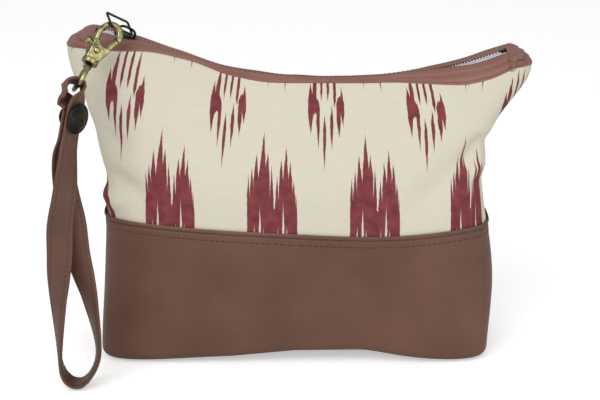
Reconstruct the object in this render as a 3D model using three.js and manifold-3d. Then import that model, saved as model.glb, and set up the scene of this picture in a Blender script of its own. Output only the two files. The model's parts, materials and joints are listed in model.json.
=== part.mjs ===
// Zip travel pouch with a leather lower half, a printed cloth upper half and a clip-on wrist strap.
// Millimetres, +Z up. The origin is the middle of the base on the ground, and the front faces -Y.
import * as THREE from 'three';
import { mergeVertices } from 'three/addons/utils/BufferGeometryUtils.js';
import Module from 'manifold-3d';

const wasm = await Module();
wasm.setup();

// Sheet materials and the running gap between sewn or fitted pieces
const LEATHER = 1.6;
const CLOTH = 1.2;
const LINING = 0.6;
const LINING_EASE = 1.3;
const GAP = 0.3;

// Body of the pouch: heights and half widths of the side seams, and depths of the walls
const BASE_ROUND = 6;
const BASE_HALF_DEPTH = 40;
const BELLY_HALF_DEPTH = 42;
const BELLY_HEIGHT = 45;
const WAIST_HALF_DEPTH = 38;
const WAIST_HEIGHT = 124;
const LEAN_START = 104;
const BASE_SQUARENESS = 7;
const HEM_SQUARENESS = 3.4;
const TOP_SQUARENESS = 4.5;
const LEFT_BASE = 122.5;
const LEFT_WAIST = 118;
const LEFT_TOP = 138.5;
const RIGHT_BASE = 119;
const RIGHT_BELLY = 122.5;
const RIGHT_WAIST = 113.5;
const RIGHT_TOP = 142;
const LEFT_WAIST_HEIGHT = 109;
const FLARE_HEIGHT = 148;
const LEFT_FLARE = 126;
const RIGHT_FLARE = 121.5;

// Leather hem: its lowest height, right of the middle, its heights at the side seams, and the turned band
const HEM_HEIGHT = 83.5;
const HEM_LEFT = 91;
const HEM_RIGHT = 86;
const HEM_BAND = 7;
const HEM_BAND_THICK = 1.2;

// Top seams: heights at the left end, along the dip and at the right end
const SEAM_LEFT = 196;
const SEAM_DIP = 173;
const SEAM_RIGHT = 184.5;
const SEAM_END_DEPTH = 31;
const SEAM_SHOULDER_DEPTH = 29;
const SEAM_DIP_DEPTH = 12.5;
const BACK_SEAM_DROP = 0.5;

// Lining: how far it stops short of the top seams
const LINING_SHORT = 7;

// Zip: one circular arc about a far centre above the pouch
const ZIP_RADIUS = 288;
const ZIP_LOW_X = 19.5;
const ZIP_LOW_Z = 168;
const ZIP_LEFT_END = 122;
const ZIP_RIGHT_END = 127;
const TAPE_THICK = 0.8;
const TAPE_WIDTH = 7.6;
const TEETH_PITCH = 3.8;
const TEETH_HEIGHT = 2.2;
const TEETH_ROOT = 2.1;
const TEETH_TIP = 0.65;
const TEETH_BASE = TAPE_THICK / 2 + GAP / 3;
const FACING_EDGE = 8;
const FACING_CROWN = 0.5;
const FACING_SWAY = 1.5;
const STOP_LENGTH = 3;
const GUSSET_END_INSET = 3;
const FACING_FOLD = 0.4;

// Slider and its bail
const SLIDER_FROM_END = 17;
const SLIDER_LENGTH = 13;
const SLIDER_WIDTH = 9;
const SLIDER_PLATE = 1.3;
const SLIDER_TAPER = 1.4;
const BLADE_THICK = 0.7;
const BLADE_LENGTH = 3;
const BLADE_INSET = 0.5;
const FLANGE = 0.9;
const WELD = 0.2;
const BAIL_WIRE = 1.6;
const BAIL_HEIGHT = 7.6;
const BAIL_SPAN = 10.6;

// Open wire pull
const PULL_LENGTH = 41;
const PULL_WIDTH = 10;
const PULL_WIRE = 1.5;
const PULL_CORNER = 1.6;
const PULL_LEAN = new THREE.Vector3(-0.21, -0.93, 0.345);
const PULL_EDGE = new THREE.Vector3(-0.36, 0.36, 0.86);
const CLASP_ON_PULL = 32;

// Swivel clasp, measured from the gate rivet along its axis
const CLASP_AXIS = new THREE.Vector3(0.412, 0.536, 0.737);
const CLASP_WIDTH_LINE = new THREE.Vector3(0.816, 0.143, -0.56);
const CLASP_THICK = 6.6;
const CLASP_BEVEL = 0.9;
const BODY_LEFT = 4.6;
const BODY_RIGHT = 4.8;
const BODY_NECK = 4;
const SHOULDER_X = 7;
const SHOULDER_Z = 5.6;
const THROAT_X = 2.4;
const THROAT_Z = 4.2;
const ARM_TOP = 7;
const ARM_INNER = 0.4;
const ARM_X = 2.45;
const HOOK_WIRE = 4.4;
const HOOK_CENTRE_X = 3.2;
const HOOK_CENTRE_Z = 17.2;
const HOOK_RADIUS = 5.2;
const HOOK_REST_X = 3;
const HOOK_REST_Z = 18.7;
const GATE_THICK = 2.8;
const GATE_SLACK = 0.35;
const GATE_PIN = 2.4;
const PIN_DOME = 0.9;
const GATE_HEEL = 2.6;
const FINGER_WIRE = 4;
const FINGER_ROOT_X = 5.4;
const FINGER_ROOT_Z = 6.4;
const FINGER_TIP_X = 7.2;
const FINGER_TIP_Z = 12.3;
const LEVER_REACH = 7.6;
const LEVER_HEIGHT = 1.9;
const LEVER_THICK = 2.2;
const PAD_DIAMETER = 4.6;
const PAD_THICK = 1.6;
const SLOT_FLOOR = -5;
const SPRING_HALF = 2.9;
const SPRING_RISE = 1.1;
const SPRING_LEAF = 0.4;
const COLLAR_TOP = -6.2;
const COLLAR_HEIGHT = 2.5;
const COLLAR_DIAMETER = 9.8;
const COLLAR_LAP = 1;
const COLLAR_FLOOR = 1.5;
const STEM = 3;
const STEM_HEAD = 4.8;
const STEM_HEAD_HEIGHT = 1.2;

// Swivel eye
const EYE_WIRE = 2.8;
const EYE_INNER_WIDTH = 17.5;
const EYE_TOP = -12;
const EYE_BAR = -24.3;
const EYE_CORNER = 2.3;
const EYE_ARCH = 6;
const EYE_TURN = -6;
const EYE_SHOULDER = 5;
const EYE_SHOULDER_HEIGHT = 2.4;

// Wrist strap and its rivet
const STRAP_WIDTH = 15.5;
const STRAP_THICK = 2.6;
const STRAP_OFF_GROUND = 0.6;
const STRAP_DRIFT = -8;
const STRAP_SWAY = 18;
const LOOP_ROUND = 20.8;
const LOOP_SPREAD = 23;
const LEGS_APART = 8;
const RIVET_TURN = 30;
const TOP_BULGE = 5.4;
const TOP_RISE = 3.8;
const BAND_MEET = 11.5;
const RIVET_DROP = 17.5;
const RIVET_CAP = 18.5;
const RIVET_BACK = 11;
const RIVET_DOME = 3.2;
const RIVET_BACK_DOME = 2.2;
const RIVET_RIM = 1.6;
const RIVET_POST = 4;

// Fineness of the curved walls
const WALL_COLUMNS = 30;

const V = (x, y, z) => new THREE.Vector3(x, y, z);
const lerp = THREE.MathUtils.lerp;
const smooth = (value, low, high) => THREE.MathUtils.smoothstep(value, low, high);

/** A smooth curve through (position, value) pairs given in rising order. */
function through(pairs) {
  const slope = (i) => {
    const a = pairs[Math.max(i - 1, 0)];
    const b = pairs[Math.min(i + 1, pairs.length - 1)];
    const turns = (pairs[i][1] - a[1]) * (b[1] - pairs[i][1]) <= 0;
    return turns ? 0 : (b[1] - a[1]) / (b[0] - a[0]);
  };
  return (at) => {
    if (at <= pairs[0][0]) return pairs[0][1];
    const next = pairs.findIndex((pair) => pair[0] >= at);
    if (next < 0) return pairs.at(-1)[1];
    const [p0, v0] = pairs[next - 1];
    const [p1, v1] = pairs[next];
    const span = p1 - p0;
    const t = (at - p0) / span;
    const rise = v1 - v0;
    const start = slope(next - 1) * span;
    const end = slope(next) * span;
    return v0 + t * (start + t * (3 * rise - 2 * start - end + t * (start + end - 2 * rise)));
  };
}

/** A closed solid from points and triangles, with its faces turned outwards. */
function solidFrom(points, faces) {
  let volume = 0;
  for (const [a, b, c] of faces) {
    volume += points[a].dot(points[b].clone().cross(points[c]));
  }
  const index = faces.flatMap(([a, b, c]) => (volume > 0 ? [a, b, c] : [a, c, b]));
  const geometry = new THREE.BufferGeometry();
  const places = points.flatMap((point) => point.toArray());
  geometry.setAttribute('position', new THREE.Float32BufferAttribute(places, 3));
  geometry.setIndex(index);
  geometry.computeVertexNormals();
  return geometry;
}

/** Cap triangles of a convex ring. */
function fanCap(count) {
  return Array.from({ length: count - 2 }, (unused, k) => [0, k + 1, k + 2]);
}

/** Cap triangles of a thin ring whose second half runs back along its first half. */
function stripCap(count) {
  const faces = [];
  for (let k = 0; k < count / 2 - 1; k += 1) {
    faces.push([k, k + 1, count - 2 - k], [k, count - 2 - k, count - 1 - k]);
  }
  return faces;
}

/** Joins matching rings of points into one closed solid. */
function loft(rings, { closed = false, cap = fanCap } = {}) {
  const count = rings[0].length;
  const faces = [];
  const spans = closed ? rings.length : rings.length - 1;
  for (let i = 0; i < spans; i += 1) {
    const a = i * count;
    const b = ((i + 1) % rings.length) * count;
    for (let k = 0; k < count; k += 1) {
      const n = (k + 1) % count;
      faces.push([a + k, a + n, b + n], [a + k, b + n, b + k]);
    }
  }
  if (!closed) {
    const last = (rings.length - 1) * count;
    for (const [p, q, r] of cap(count)) {
      faces.push([p, r, q], [last + p, last + q, last + r]);
    }
  }
  return solidFrom(rings.flat(), faces);
}

/** A sheet with thickness: rings run out along its face and back along its underside. */
function sheet(columns, rows, face, underside) {
  const rings = [];
  for (let i = 0; i <= columns; i += 1) {
    const ring = [];
    for (let j = 0; j <= rows; j += 1) ring.push(face(i / columns, j / rows));
    for (let j = rows; j >= 0; j -= 1) ring.push(underside(i / columns, j / rows));
    rings.push(ring);
  }
  return loft(rings, { cap: stripCap });
}

/** A round wire along a closed flat path, given points in order and the normal of its plane. */
function wireLoop(path, normal, diameter, sides = 8) {
  const rings = path.map((point, i) => {
    const before = path[(i + path.length - 1) % path.length];
    const after = path[(i + 1) % path.length];
    const inward = normal.clone().cross(after.clone().sub(before)).normalize();
    return Array.from({ length: sides }, (unused, k) => {
      const angle = (2 * Math.PI * k) / sides;
      return point.clone()
        .addScaledVector(inward, (diameter / 2) * Math.cos(angle))
        .addScaledVector(normal, (diameter / 2) * Math.sin(angle));
    });
  });
  return loft(rings, { closed: true });
}

/** Points of a rounded rectangle centred on the origin, with its corners as quarter arcs. */
function roundedRectangle(width, height, radius, steps) {
  const points = [];
  const corners = [[1, 1, 0], [-1, 1, 1], [-1, -1, 2], [1, -1, 3]];
  for (const [sx, sy, quarter] of corners) {
    for (let k = 0; k <= steps; k += 1) {
      const angle = (quarter + k / steps) * (Math.PI / 2);
      const u = sx * (width / 2 - radius) + radius * Math.cos(angle);
      const v = sy * (height / 2 - radius) + radius * Math.sin(angle);
      points.push([u, v]);
    }
  }
  return points;
}

/** A round wire along an open curve. */
function wireAlong(curve, diameter, steps, sides = 10) {
  const section = new THREE.Shape().absarc(0, 0, diameter / 2, 0, 2 * Math.PI);
  return new THREE.ExtrudeGeometry(section, { extrudePath: curve, steps, curveSegments: sides });
}

/** A cylinder along Z from its lower end. */
function post(diameter, height, base = 0, sides = 20) {
  return new THREE.CylinderGeometry(diameter / 2, diameter / 2, height, sides)
    .rotateX(Math.PI / 2)
    .translate(0, 0, base + height / 2);
}

/** A surface as a solid that can be cut and joined. */
function toSolid(geometry) {
  const bare = geometry.clone();
  bare.deleteAttribute('normal');
  bare.deleteAttribute('uv');
  const merged = mergeVertices(bare, 1e-4);
  return new wasm.Manifold(new wasm.Mesh({
    numProp: 3,
    vertProperties: new Float32Array(merged.attributes.position.array),
    triVerts: new Uint32Array(merged.index.array),
  }));
}

/** The surface of a cut or joined solid. */
function fromSolid(solid) {
  const mesh = solid.getMesh();
  const geometry = new THREE.BufferGeometry();
  const places = new Float32Array(mesh.vertProperties);
  geometry.setAttribute('position', new THREE.BufferAttribute(places, 3));
  geometry.setIndex(Array.from(mesh.triVerts));
  geometry.computeVertexNormals();
  return geometry;
}

/** Joins pieces into one solid, then cuts others out of it. */
function carve(joined, cuts = []) {
  const whole = joined.map(toSolid).reduce((a, b) => a.add(b));
  return fromSolid(cuts.map(toSolid).reduce((a, b) => a.subtract(b), whole));
}

/** An outline's points moved in towards its inside by a distance, along the corner bisectors. */
function inset(points, distance) {
  return points.map((point, i) => {
    const before = points[(i + points.length - 1) % points.length];
    const after = points[(i + 1) % points.length];
    const a = point.clone().sub(before).normalize();
    const b = after.clone().sub(point).normalize();
    const bisector = new THREE.Vector2(-a.y - b.y, a.x + b.x).normalize();
    const spread = Math.max(bisector.dot(new THREE.Vector2(-a.y, a.x)), 0.5);
    return point.clone().addScaledVector(bisector, distance / spread);
  });
}

/** A flat outline in the XZ plane given a thickness across Y, with both faces' edges eased. */
function plate(shape, thickness, ease = 0) {
  const points = shape.extractPoints(5).shape;
  if (points[0].distanceTo(points.at(-1)) < 1e-6) points.pop();
  if (THREE.ShapeUtils.isClockWise(points)) points.reverse();
  const half = thickness / 2;
  const turn = 0.3 * ease;
  const eased = [[-half, ease], [-half + turn, turn], [-half + ease, 0]];
  const lower = ease > 0 ? eased : [[-half, 0]];
  const upper = lower.map(([y, distance]) => [-y, distance]).reverse();
  const levels = [...lower, ...upper];
  const rings = levels.map(([y, distance]) => inset(points, distance).map((p) => V(p.x, y, p.y)));
  return loft(rings, { cap: () => THREE.ShapeUtils.triangulateShape(points, []) });
}

// Materials
function material(color, roughness, metalness) {
  return new THREE.MeshStandardMaterial({ color, roughness, metalness });
}

const leather = material(0x694d41, 0.5, 0);
const gussetLeather = material(0x8a675f, 0.5, 0);
const cloth = material(0xd8d2c0, 0.9, 0);
const liningCloth = material(0xb9ada0, 0.9, 0);
const tapeCloth = material(0xdce1eb, 0.8, 0);
const nylon = material(0xe4e6ea, 0.45, 0);
const brass = material(0x99975f, 0.35, 1);
const gunmetal = material(0x2b2923, 0.4, 1);

const pouch = new THREE.Group();

/** Adds a named piece to a group. */
function add(group, name, geometry, finish) {
  const mesh = new THREE.Mesh(geometry, finish);
  mesh.name = name;
  group.add(mesh);
  return mesh;
}

// Outline of the pouch: side seams seen from the front, top seams and wall depth
const leftSeam = through([
  [0, -LEFT_BASE], [LEFT_WAIST_HEIGHT, -LEFT_WAIST], [FLARE_HEIGHT, -LEFT_FLARE], [SEAM_LEFT, -LEFT_TOP],
]);
const rightSeam = through([
  [0, RIGHT_BASE], [BELLY_HEIGHT, RIGHT_BELLY], [WAIST_HEIGHT, RIGHT_WAIST],
  [FLARE_HEIGHT, RIGHT_FLARE], [SEAM_RIGHT, RIGHT_TOP],
]);
const frontSeamHeight = through([
  [-LEFT_TOP, SEAM_LEFT], [-0.68 * LEFT_TOP, SEAM_LEFT],
  [-0.47 * LEFT_TOP, lerp(SEAM_DIP, SEAM_LEFT, 0.7)],
  [-0.27 * LEFT_TOP, lerp(SEAM_DIP, SEAM_LEFT, 0.17)], [-0.07 * LEFT_TOP, SEAM_DIP],
  [0.67 * RIGHT_TOP, SEAM_DIP], [0.8 * RIGHT_TOP, lerp(SEAM_DIP, SEAM_RIGHT, 0.35)],
  [0.91 * RIGHT_TOP, lerp(SEAM_DIP, SEAM_RIGHT, 0.92)], [RIGHT_TOP, SEAM_RIGHT],
]);
const seamHalfDepth = through([
  [-LEFT_TOP, SEAM_END_DEPTH], [-0.7 * LEFT_TOP, SEAM_SHOULDER_DEPTH],
  [-0.2 * LEFT_TOP, SEAM_DIP_DEPTH], [0.3 * RIGHT_TOP, SEAM_DIP_DEPTH],
  [0.66 * RIGHT_TOP, lerp(SEAM_DIP_DEPTH, SEAM_SHOULDER_DEPTH, 0.55)],
  [0.85 * RIGHT_TOP, SEAM_SHOULDER_DEPTH], [RIGHT_TOP, SEAM_END_DEPTH],
]);
const bodyHalfDepth = through([
  [0, BASE_HALF_DEPTH], [BELLY_HEIGHT, BELLY_HALF_DEPTH], [WAIST_HEIGHT, WAIST_HALF_DEPTH],
]);

const planSquareness = through([
  [0, BASE_SQUARENESS], [0.45 * HEM_HEIGHT, 1.15 * HEM_SQUARENESS],
  [HEM_HEIGHT, HEM_SQUARENESS], [SEAM_LEFT, TOP_SQUARENESS],
]);

/** Height of the leather's top edge at a place across the pouch. */
const hemHeight = through([
  [-LEFT_BASE, HEM_LEFT], [-0.24 * LEFT_BASE, lerp(HEM_HEIGHT, HEM_LEFT, 0.43)],
  [0.42 * RIGHT_BASE, HEM_HEIGHT], [RIGHT_BASE, HEM_RIGHT],
]);

/** Height of a top seam; the back one hangs lower along the dip. */
function seamHeight(side, x) {
  const pinch = Math.max(SEAM_END_DEPTH - seamHalfDepth(x), 0) / (SEAM_END_DEPTH - SEAM_DIP_DEPTH);
  return frontSeamHeight(x) - (side > 0 ? BACK_SEAM_DROP * pinch : 0);
}

/** How far the wall turns in under the pouch near the ground. */
function baseTurn(z) {
  const below = Math.max(BASE_ROUND - z, 0);
  return BASE_ROUND - Math.sqrt(BASE_ROUND ** 2 - Math.min(below, BASE_ROUND) ** 2);
}

/** Half depth of the pouch at a place on the front, before its corners round off. */
function wallDepth(side, x, z) {
  const towardsSeam = smooth(z, LEAN_START, seamHeight(side, x));
  return lerp(bodyHalfDepth(z), seamHalfDepth(x), towardsSeam) - baseTurn(z);
}

/** Half depth of the top opening at a place across the pouch, with its rounded corners. */
function topReach(side, x) {
  const z = seamHeight(side, x);
  const half = (rightSeam(z) - leftSeam(z)) / 2;
  const squareness = planSquareness(z);
  const share = Math.min(Math.abs(x - (rightSeam(z) + leftSeam(z)) / 2) / half, 1) ** squareness;
  return seamHalfDepth(x) * (1 - share) ** (1 / squareness);
}

/** A point on the outer face of the front (-1) or back (+1) wall, from the left seam to the right. */
function wallPoint(side, along, z) {
  const angle = Math.PI * (1 - along);
  const left = leftSeam(z) + baseTurn(z);
  const right = rightSeam(z) - baseTurn(z);
  const power = 2 / planSquareness(z);
  const across = Math.sign(Math.cos(angle)) * Math.abs(Math.cos(angle)) ** power;
  const x = (left + right) / 2 + ((right - left) / 2) * across;
  const y = side * wallDepth(side, x, z) * Math.abs(Math.sin(angle)) ** power;
  return V(x, y, z);
}

/** A point inside the wall's outer face by an offset, kept off the side seams by half a gap. */
function wallInside(side, along, z, offset) {
  const ds = 0.004;
  const dz = 0.25;
  const onSeam = along < 1e-6 || along > 1 - 1e-6;
  const s = THREE.MathUtils.clamp(along, ds, 1 - ds);
  const low = Math.max(z - dz, 0);
  const alongWall = wallPoint(side, s + ds, z).sub(wallPoint(side, s - ds, z));
  const upWall = wallPoint(side, s, low + 2 * dz).sub(wallPoint(side, s, low));
  const out = alongWall.cross(upWall).multiplyScalar(-side);
  if (onSeam) out.y = 0;
  out.normalize();
  const point = wallPoint(side, along, z).addScaledVector(out, -offset);
  point.y = side * Math.max(side * point.y, GAP / 2);
  return point;
}

/** A wall panel between two heights that vary across the pouch; a grade over 1 packs its rows low. */
function wallPanel(side, rows, low, high, outer, thickness, grade = 1) {
  const at = (offset) => (along, up) => {
    let z = WAIST_HEIGHT;
    for (let pass = 0; pass < 4; pass += 1) {
      const x = wallPoint(side, along, z).x;
      z = lerp(low(x), high(x), up ** grade);
    }
    return wallInside(side, along, z, offset);
  };
  return sheet(WALL_COLUMNS, rows, at(outer), at(outer + thickness));
}

/** A flat panel that fills the base inside the walls, a margin clear of them. */
function basePlate(margin, bottom, thickness) {
  const corners = [];
  const steps = WALL_COLUMNS;
  const shrinkX = 1 - margin / (LEFT_BASE - BASE_ROUND);
  const shrinkY = 1 - margin / (BASE_HALF_DEPTH - BASE_ROUND);
  for (let i = 0; i < 2 * steps; i += 1) {
    const side = i < steps ? -1 : 1;
    const along = side < 0 ? i / steps : 2 - i / steps;
    const point = wallPoint(side, along, 0);
    corners.push(new THREE.Vector2(point.x * shrinkX, point.y * shrinkY));
  }
  const outline = new THREE.Shape(corners);
  const depth = { depth: thickness, bevelEnabled: false };
  return new THREE.ExtrudeGeometry(outline, depth).translate(0, 0, bottom);
}

/** Leather, cloth and lining walls of one side. */
function buildWalls(side, word) {
  const ground = () => 0;
  const seam = (x) => seamHeight(side, x);
  const bandLow = (x) => hemHeight(x) - HEM_BAND;
  const aboveHem = (x) => hemHeight(x) + GAP;
  const liningLow = () => BASE_ROUND + GAP;
  const liningTop = (x) => seamHeight(side, x) - LINING_SHORT;
  const proud = -GAP - HEM_BAND_THICK;
  const lower = wallPanel(side, 8, ground, hemHeight, 0, LEATHER, 1.6);
  const band = wallPanel(side, 1, bandLow, hemHeight, proud, HEM_BAND_THICK);
  const upper = wallPanel(side, 8, aboveHem, seam, LEATHER - CLOTH, CLOTH);
  const lining = wallPanel(side, 11, liningLow, liningTop, LEATHER + LINING_EASE, LINING, 0.75);
  add(pouch, `${word}_lower_panel`, lower, leather);
  add(pouch, `${word}_hem_band`, band, leather);
  add(pouch, `${word}_upper_panel`, upper, cloth);
  add(pouch, `lining_${word}`, lining, liningCloth);
}

buildWalls(-1, 'front');
buildWalls(1, 'back');
add(pouch, 'base_panel', basePlate(2 * GAP, 0, LEATHER), leather);
add(pouch, 'lining_base', basePlate(LEATHER, LEATHER + GAP, LINING), liningCloth);

// Zip line
const ZIP_CENTRE_Z = ZIP_LOW_Z + ZIP_RADIUS;

/** A point beside the zip: an angle along its arc, a distance across and a height above the tape. */
function zipPoint(angle, y, height) {
  const radius = ZIP_RADIUS - height;
  return V(ZIP_LOW_X + radius * Math.sin(angle), y, ZIP_CENTRE_Z - radius * Math.cos(angle));
}

/** Angle of the zip's arc at a place across the pouch. */
function zipAngle(x) {
  return Math.asin((x - ZIP_LOW_X) / ZIP_RADIUS);
}

const ZIP_START = zipAngle(-ZIP_LEFT_END);
const ZIP_END = zipAngle(ZIP_RIGHT_END);

/** A strip of constant section along the zip: corners are (across, height) pairs in order round it. */
function zipStrip(corners, start, end, steps) {
  const rings = [];
  for (let i = 0; i <= steps; i += 1) {
    const angle = lerp(start, end, i / steps);
    rings.push(corners.map(([y, height]) => zipPoint(angle, y, height)));
  }
  return loft(rings);
}

/** Corner pairs of a rectangular section on one side of the zip. */
function zipSection(side, near, far, low, high) {
  return [[side * near, low], [side * far, low], [side * far, high], [side * near, high]];
}

/** One row of zip teeth: a bead along the tape's edge, notched between the teeth. */
function teethRow(side) {
  const rings = [];
  const start = zipAngle(-ZIP_LEFT_END + STOP_LENGTH + 1);
  const end = zipAngle(ZIP_RIGHT_END - STOP_LENGTH - 1);
  const teeth = Math.round(((end - start) * ZIP_RADIUS) / TEETH_PITCH);
  const notch = (TEETH_ROOT + TEETH_TIP) / 2;
  const top = TEETH_BASE + TEETH_HEIGHT / 2;
  for (let step = 0; step < 2 * teeth; step += 1) {
    const angle = lerp(start, end, (step + 0.5) / (2 * teeth));
    const section = zipSection(side, step % 2 ? notch : TEETH_TIP, TEETH_ROOT, TEETH_BASE, top);
    rings.push(section.map(([y, height]) => zipPoint(angle, y, height)));
  }
  return loft(rings);
}

/** Facing of the gusset: from beside the zip up to the top seam, crowned beside its fold. */
function gussetFacing(side) {
  const lift = TAPE_THICK / 2 + 3 * GAP + LEATHER;
  const face = (along, out) => {
    const angle = lerp(ZIP_START, ZIP_END, along);
    const edge = zipPoint(angle, side * FACING_EDGE, lift);
    const reach = topReach(side, edge.x) - 2 * LEATHER - 3 * GAP;
    const seam = V(edge.x, side * Math.max(reach, FACING_EDGE), seamHeight(side, edge.x) - GAP);
    const point = V(edge.x, lerp(edge.y, seam.y, out), lerp(edge.z, seam.z, out ** FACING_SWAY));
    point.z += FACING_CROWN * Math.sin(Math.PI * Math.min(out / (1 - FACING_FOLD), 1));
    return point;
  };
  const underside = (along, out) => {
    const span = face(along, 1).sub(face(along, 0));
    const up = V(0, -side * span.z, side * span.y).normalize();
    return face(along, out).addScaledVector(up, -Math.sign(up.z) * LEATHER * 0.8);
  };
  return sheet(28, 3, face, underside);
}

/** Leather end piece that closes the gusset beyond the zip. */
function gussetEnd(hand) {
  const seamLine = hand < 0 ? leftSeam(SEAM_LEFT) : rightSeam(SEAM_RIGHT);
  const start = hand < 0 ? -ZIP_LEFT_END - GAP : ZIP_RIGHT_END + GAP;
  const end = seamLine - hand * GUSSET_END_INSET;
  const reach = (x) => topReach(-1, x) - LEATHER - 9 * GAP;
  const face = (out, across) => {
    const x = lerp(start, end, out);
    const share = lerp(-1, 1, across);
    const zipTop = zipPoint(zipAngle(start), 0, TAPE_THICK).z;
    const ridge = (zipTop - seamHeight(-1, start)) * (1 - out) * Math.cos((share * Math.PI) / 2);
    return V(x, share * reach(x), seamHeight(-1, x) + GAP + Math.max(ridge, 0));
  };
  const underside = (out, across) => face(out, across).add(V(0, 0, -LEATHER));
  return sheet(6, 6, face, underside);
}

/** Tapes, teeth, facings and stops of the zip. */
function buildZip() {
  for (const [side, word] of [[-1, 'front'], [1, 'back']]) {
    const near = TEETH_TIP + GAP;
    const tape = zipSection(side, near, near + TAPE_WIDTH, -TAPE_THICK / 2, TAPE_THICK / 2);
    add(pouch, `${word}_zip_tape`, zipStrip(tape, ZIP_START, ZIP_END, 24), tapeCloth);
    add(pouch, `${word}_zip_teeth`, teethRow(side), nylon);
    add(pouch, `${word}_zip_facing`, gussetFacing(side), gussetLeather);
    const stop = zipSection(side, TEETH_TIP, TEETH_ROOT, TEETH_BASE, TEETH_BASE + TEETH_HEIGHT / 2);
    const stopEnd = zipAngle(-ZIP_LEFT_END + STOP_LENGTH);
    add(pouch, `${word}_top_stop`, zipStrip(stop, ZIP_START, stopEnd, 1), gunmetal);
  }
  const bar = zipSection(1, -TEETH_ROOT, TEETH_ROOT, TEETH_BASE, TEETH_BASE + TEETH_HEIGHT);
  const stopStart = zipAngle(ZIP_RIGHT_END - STOP_LENGTH);
  add(pouch, 'zip_bottom_stop', zipStrip(bar, stopStart, ZIP_END, 1), gunmetal);
  add(pouch, 'left_zip_end', gussetEnd(-1), gussetLeather);
  add(pouch, 'right_zip_end', gussetEnd(1), gussetLeather);
}

buildZip();

/** Rotation that takes the X, Y and Z axes onto three given lines. */
function turnTo(x, y, z) {
  return new THREE.Quaternion().setFromRotationMatrix(new THREE.Matrix4().makeBasis(x, y, z));
}

// Slider: X runs along the zip, Z stands off the tape
const SLIDER_ANGLE = zipAngle(-ZIP_LEFT_END + SLIDER_FROM_END);
const slider = new THREE.Group();
slider.name = 'slider';
slider.position.copy(zipPoint(SLIDER_ANGLE, 0, 0));
slider.rotation.y = -SLIDER_ANGLE;
pouch.add(slider);

const SLIDER_INNER = TEETH_BASE + TEETH_HEIGHT / 2 + GAP;
const SLIDER_TOP = SLIDER_INNER + SLIDER_PLATE;
const PULL_PIVOT = V(0, 0, BAIL_HEIGHT);

/** Outline of the slider's plates: round at the nose and narrowed at the tail. */
function sliderOutline() {
  const half = SLIDER_LENGTH / 2;
  const nose = SLIDER_WIDTH / 2 - SLIDER_TAPER;
  const outline = new THREE.Shape();
  outline.moveTo(-half, -nose);
  outline.quadraticCurveTo(-half, -SLIDER_WIDTH / 2, -half / 3, -SLIDER_WIDTH / 2);
  outline.lineTo(half, -nose);
  outline.lineTo(half, nose);
  outline.lineTo(-half / 3, SLIDER_WIDTH / 2);
  outline.quadraticCurveTo(-half, SLIDER_WIDTH / 2, -half, nose);
  outline.closePath();
  return outline;
}

/** Slider body: two plates with side flanges, joined by the blade that parts the teeth. */
function sliderBody() {
  const half = SLIDER_LENGTH / 2;
  const lip = SLIDER_INNER - TAPE_THICK / 2 - GAP;
  const pieces = [];
  for (const level of [-1, 1]) {
    const depth = { depth: SLIDER_PLATE, bevelEnabled: false, curveSegments: 4 };
    const solid = new THREE.ExtrudeGeometry(sliderOutline(), depth);
    pieces.push(solid.translate(0, 0, level < 0 ? -SLIDER_TOP : SLIDER_INNER));
    for (const side of [-1, 1]) {
      const flange = new THREE.BoxGeometry(half, FLANGE, lip + WELD);
      const y = side * (SLIDER_WIDTH / 2 - FLANGE);
      pieces.push(flange.translate(-half / 4, y, level * (SLIDER_INNER - (lip - WELD) / 2)));
    }
  }
  const blade = new THREE.BoxGeometry(BLADE_LENGTH, BLADE_THICK, 2 * SLIDER_INNER + SLIDER_PLATE);
  pieces.push(blade.translate(-half + BLADE_INSET + BLADE_LENGTH / 2, 0, 0));
  return carve(pieces);
}

/** Bail: an arched wire that stands on the slider, along the zip. */
function sliderBail() {
  const half = BAIL_SPAN / 2;
  const foot = SLIDER_TOP + GAP / 3;
  const leg = lerp(foot, BAIL_HEIGHT, 0.55);
  const crook = 0.97 * BAIL_HEIGHT;
  const arch = new THREE.CatmullRomCurve3([
    V(-half, 0, foot), V(-half, 0, leg), V(-half * 0.62, 0, crook), V(0, 0, BAIL_HEIGHT),
    V(half * 0.62, 0, crook), V(half, 0, leg), V(half, 0, foot),
  ]);
  return wireAlong(arch, BAIL_WIRE, 16, 4);
}

add(slider, 'zip_slider', sliderBody(), gunmetal);
add(slider, 'slider_bail', sliderBail(), gunmetal);

// Pull: X runs from the bail to the free end, Y is its edge line; it hangs forward over the front seam
pouch.updateMatrixWorld(true);
const pull = new THREE.Group();
pull.name = 'pull';
pull.position.copy(slider.localToWorld(PULL_PIVOT.clone()));
const pullAlong = PULL_LEAN.clone().normalize();
const pullEdge = PULL_EDGE.clone().addScaledVector(pullAlong, -PULL_EDGE.dot(pullAlong)).normalize();
pull.quaternion.copy(turnTo(pullAlong, pullEdge, pullAlong.clone().cross(pullEdge)));
pouch.add(pull);

const PULL_SLACK = BAIL_WIRE / 2 + PULL_WIRE / 2 + 4 * GAP;

/** The pull's frame: one wire bent to a long rectangle that loops round the bail. */
function pullFrame() {
  const outline = roundedRectangle(PULL_LENGTH - PULL_WIRE, PULL_WIDTH - PULL_WIRE, PULL_CORNER, 3);
  const middle = (PULL_LENGTH - PULL_WIRE) / 2 - PULL_SLACK;
  return wireLoop(outline.map(([u, v]) => V(u + middle, v, 0)), V(0, 0, 1), PULL_WIRE);
}

add(pull, 'pull_frame', pullFrame(), gunmetal);

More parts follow.
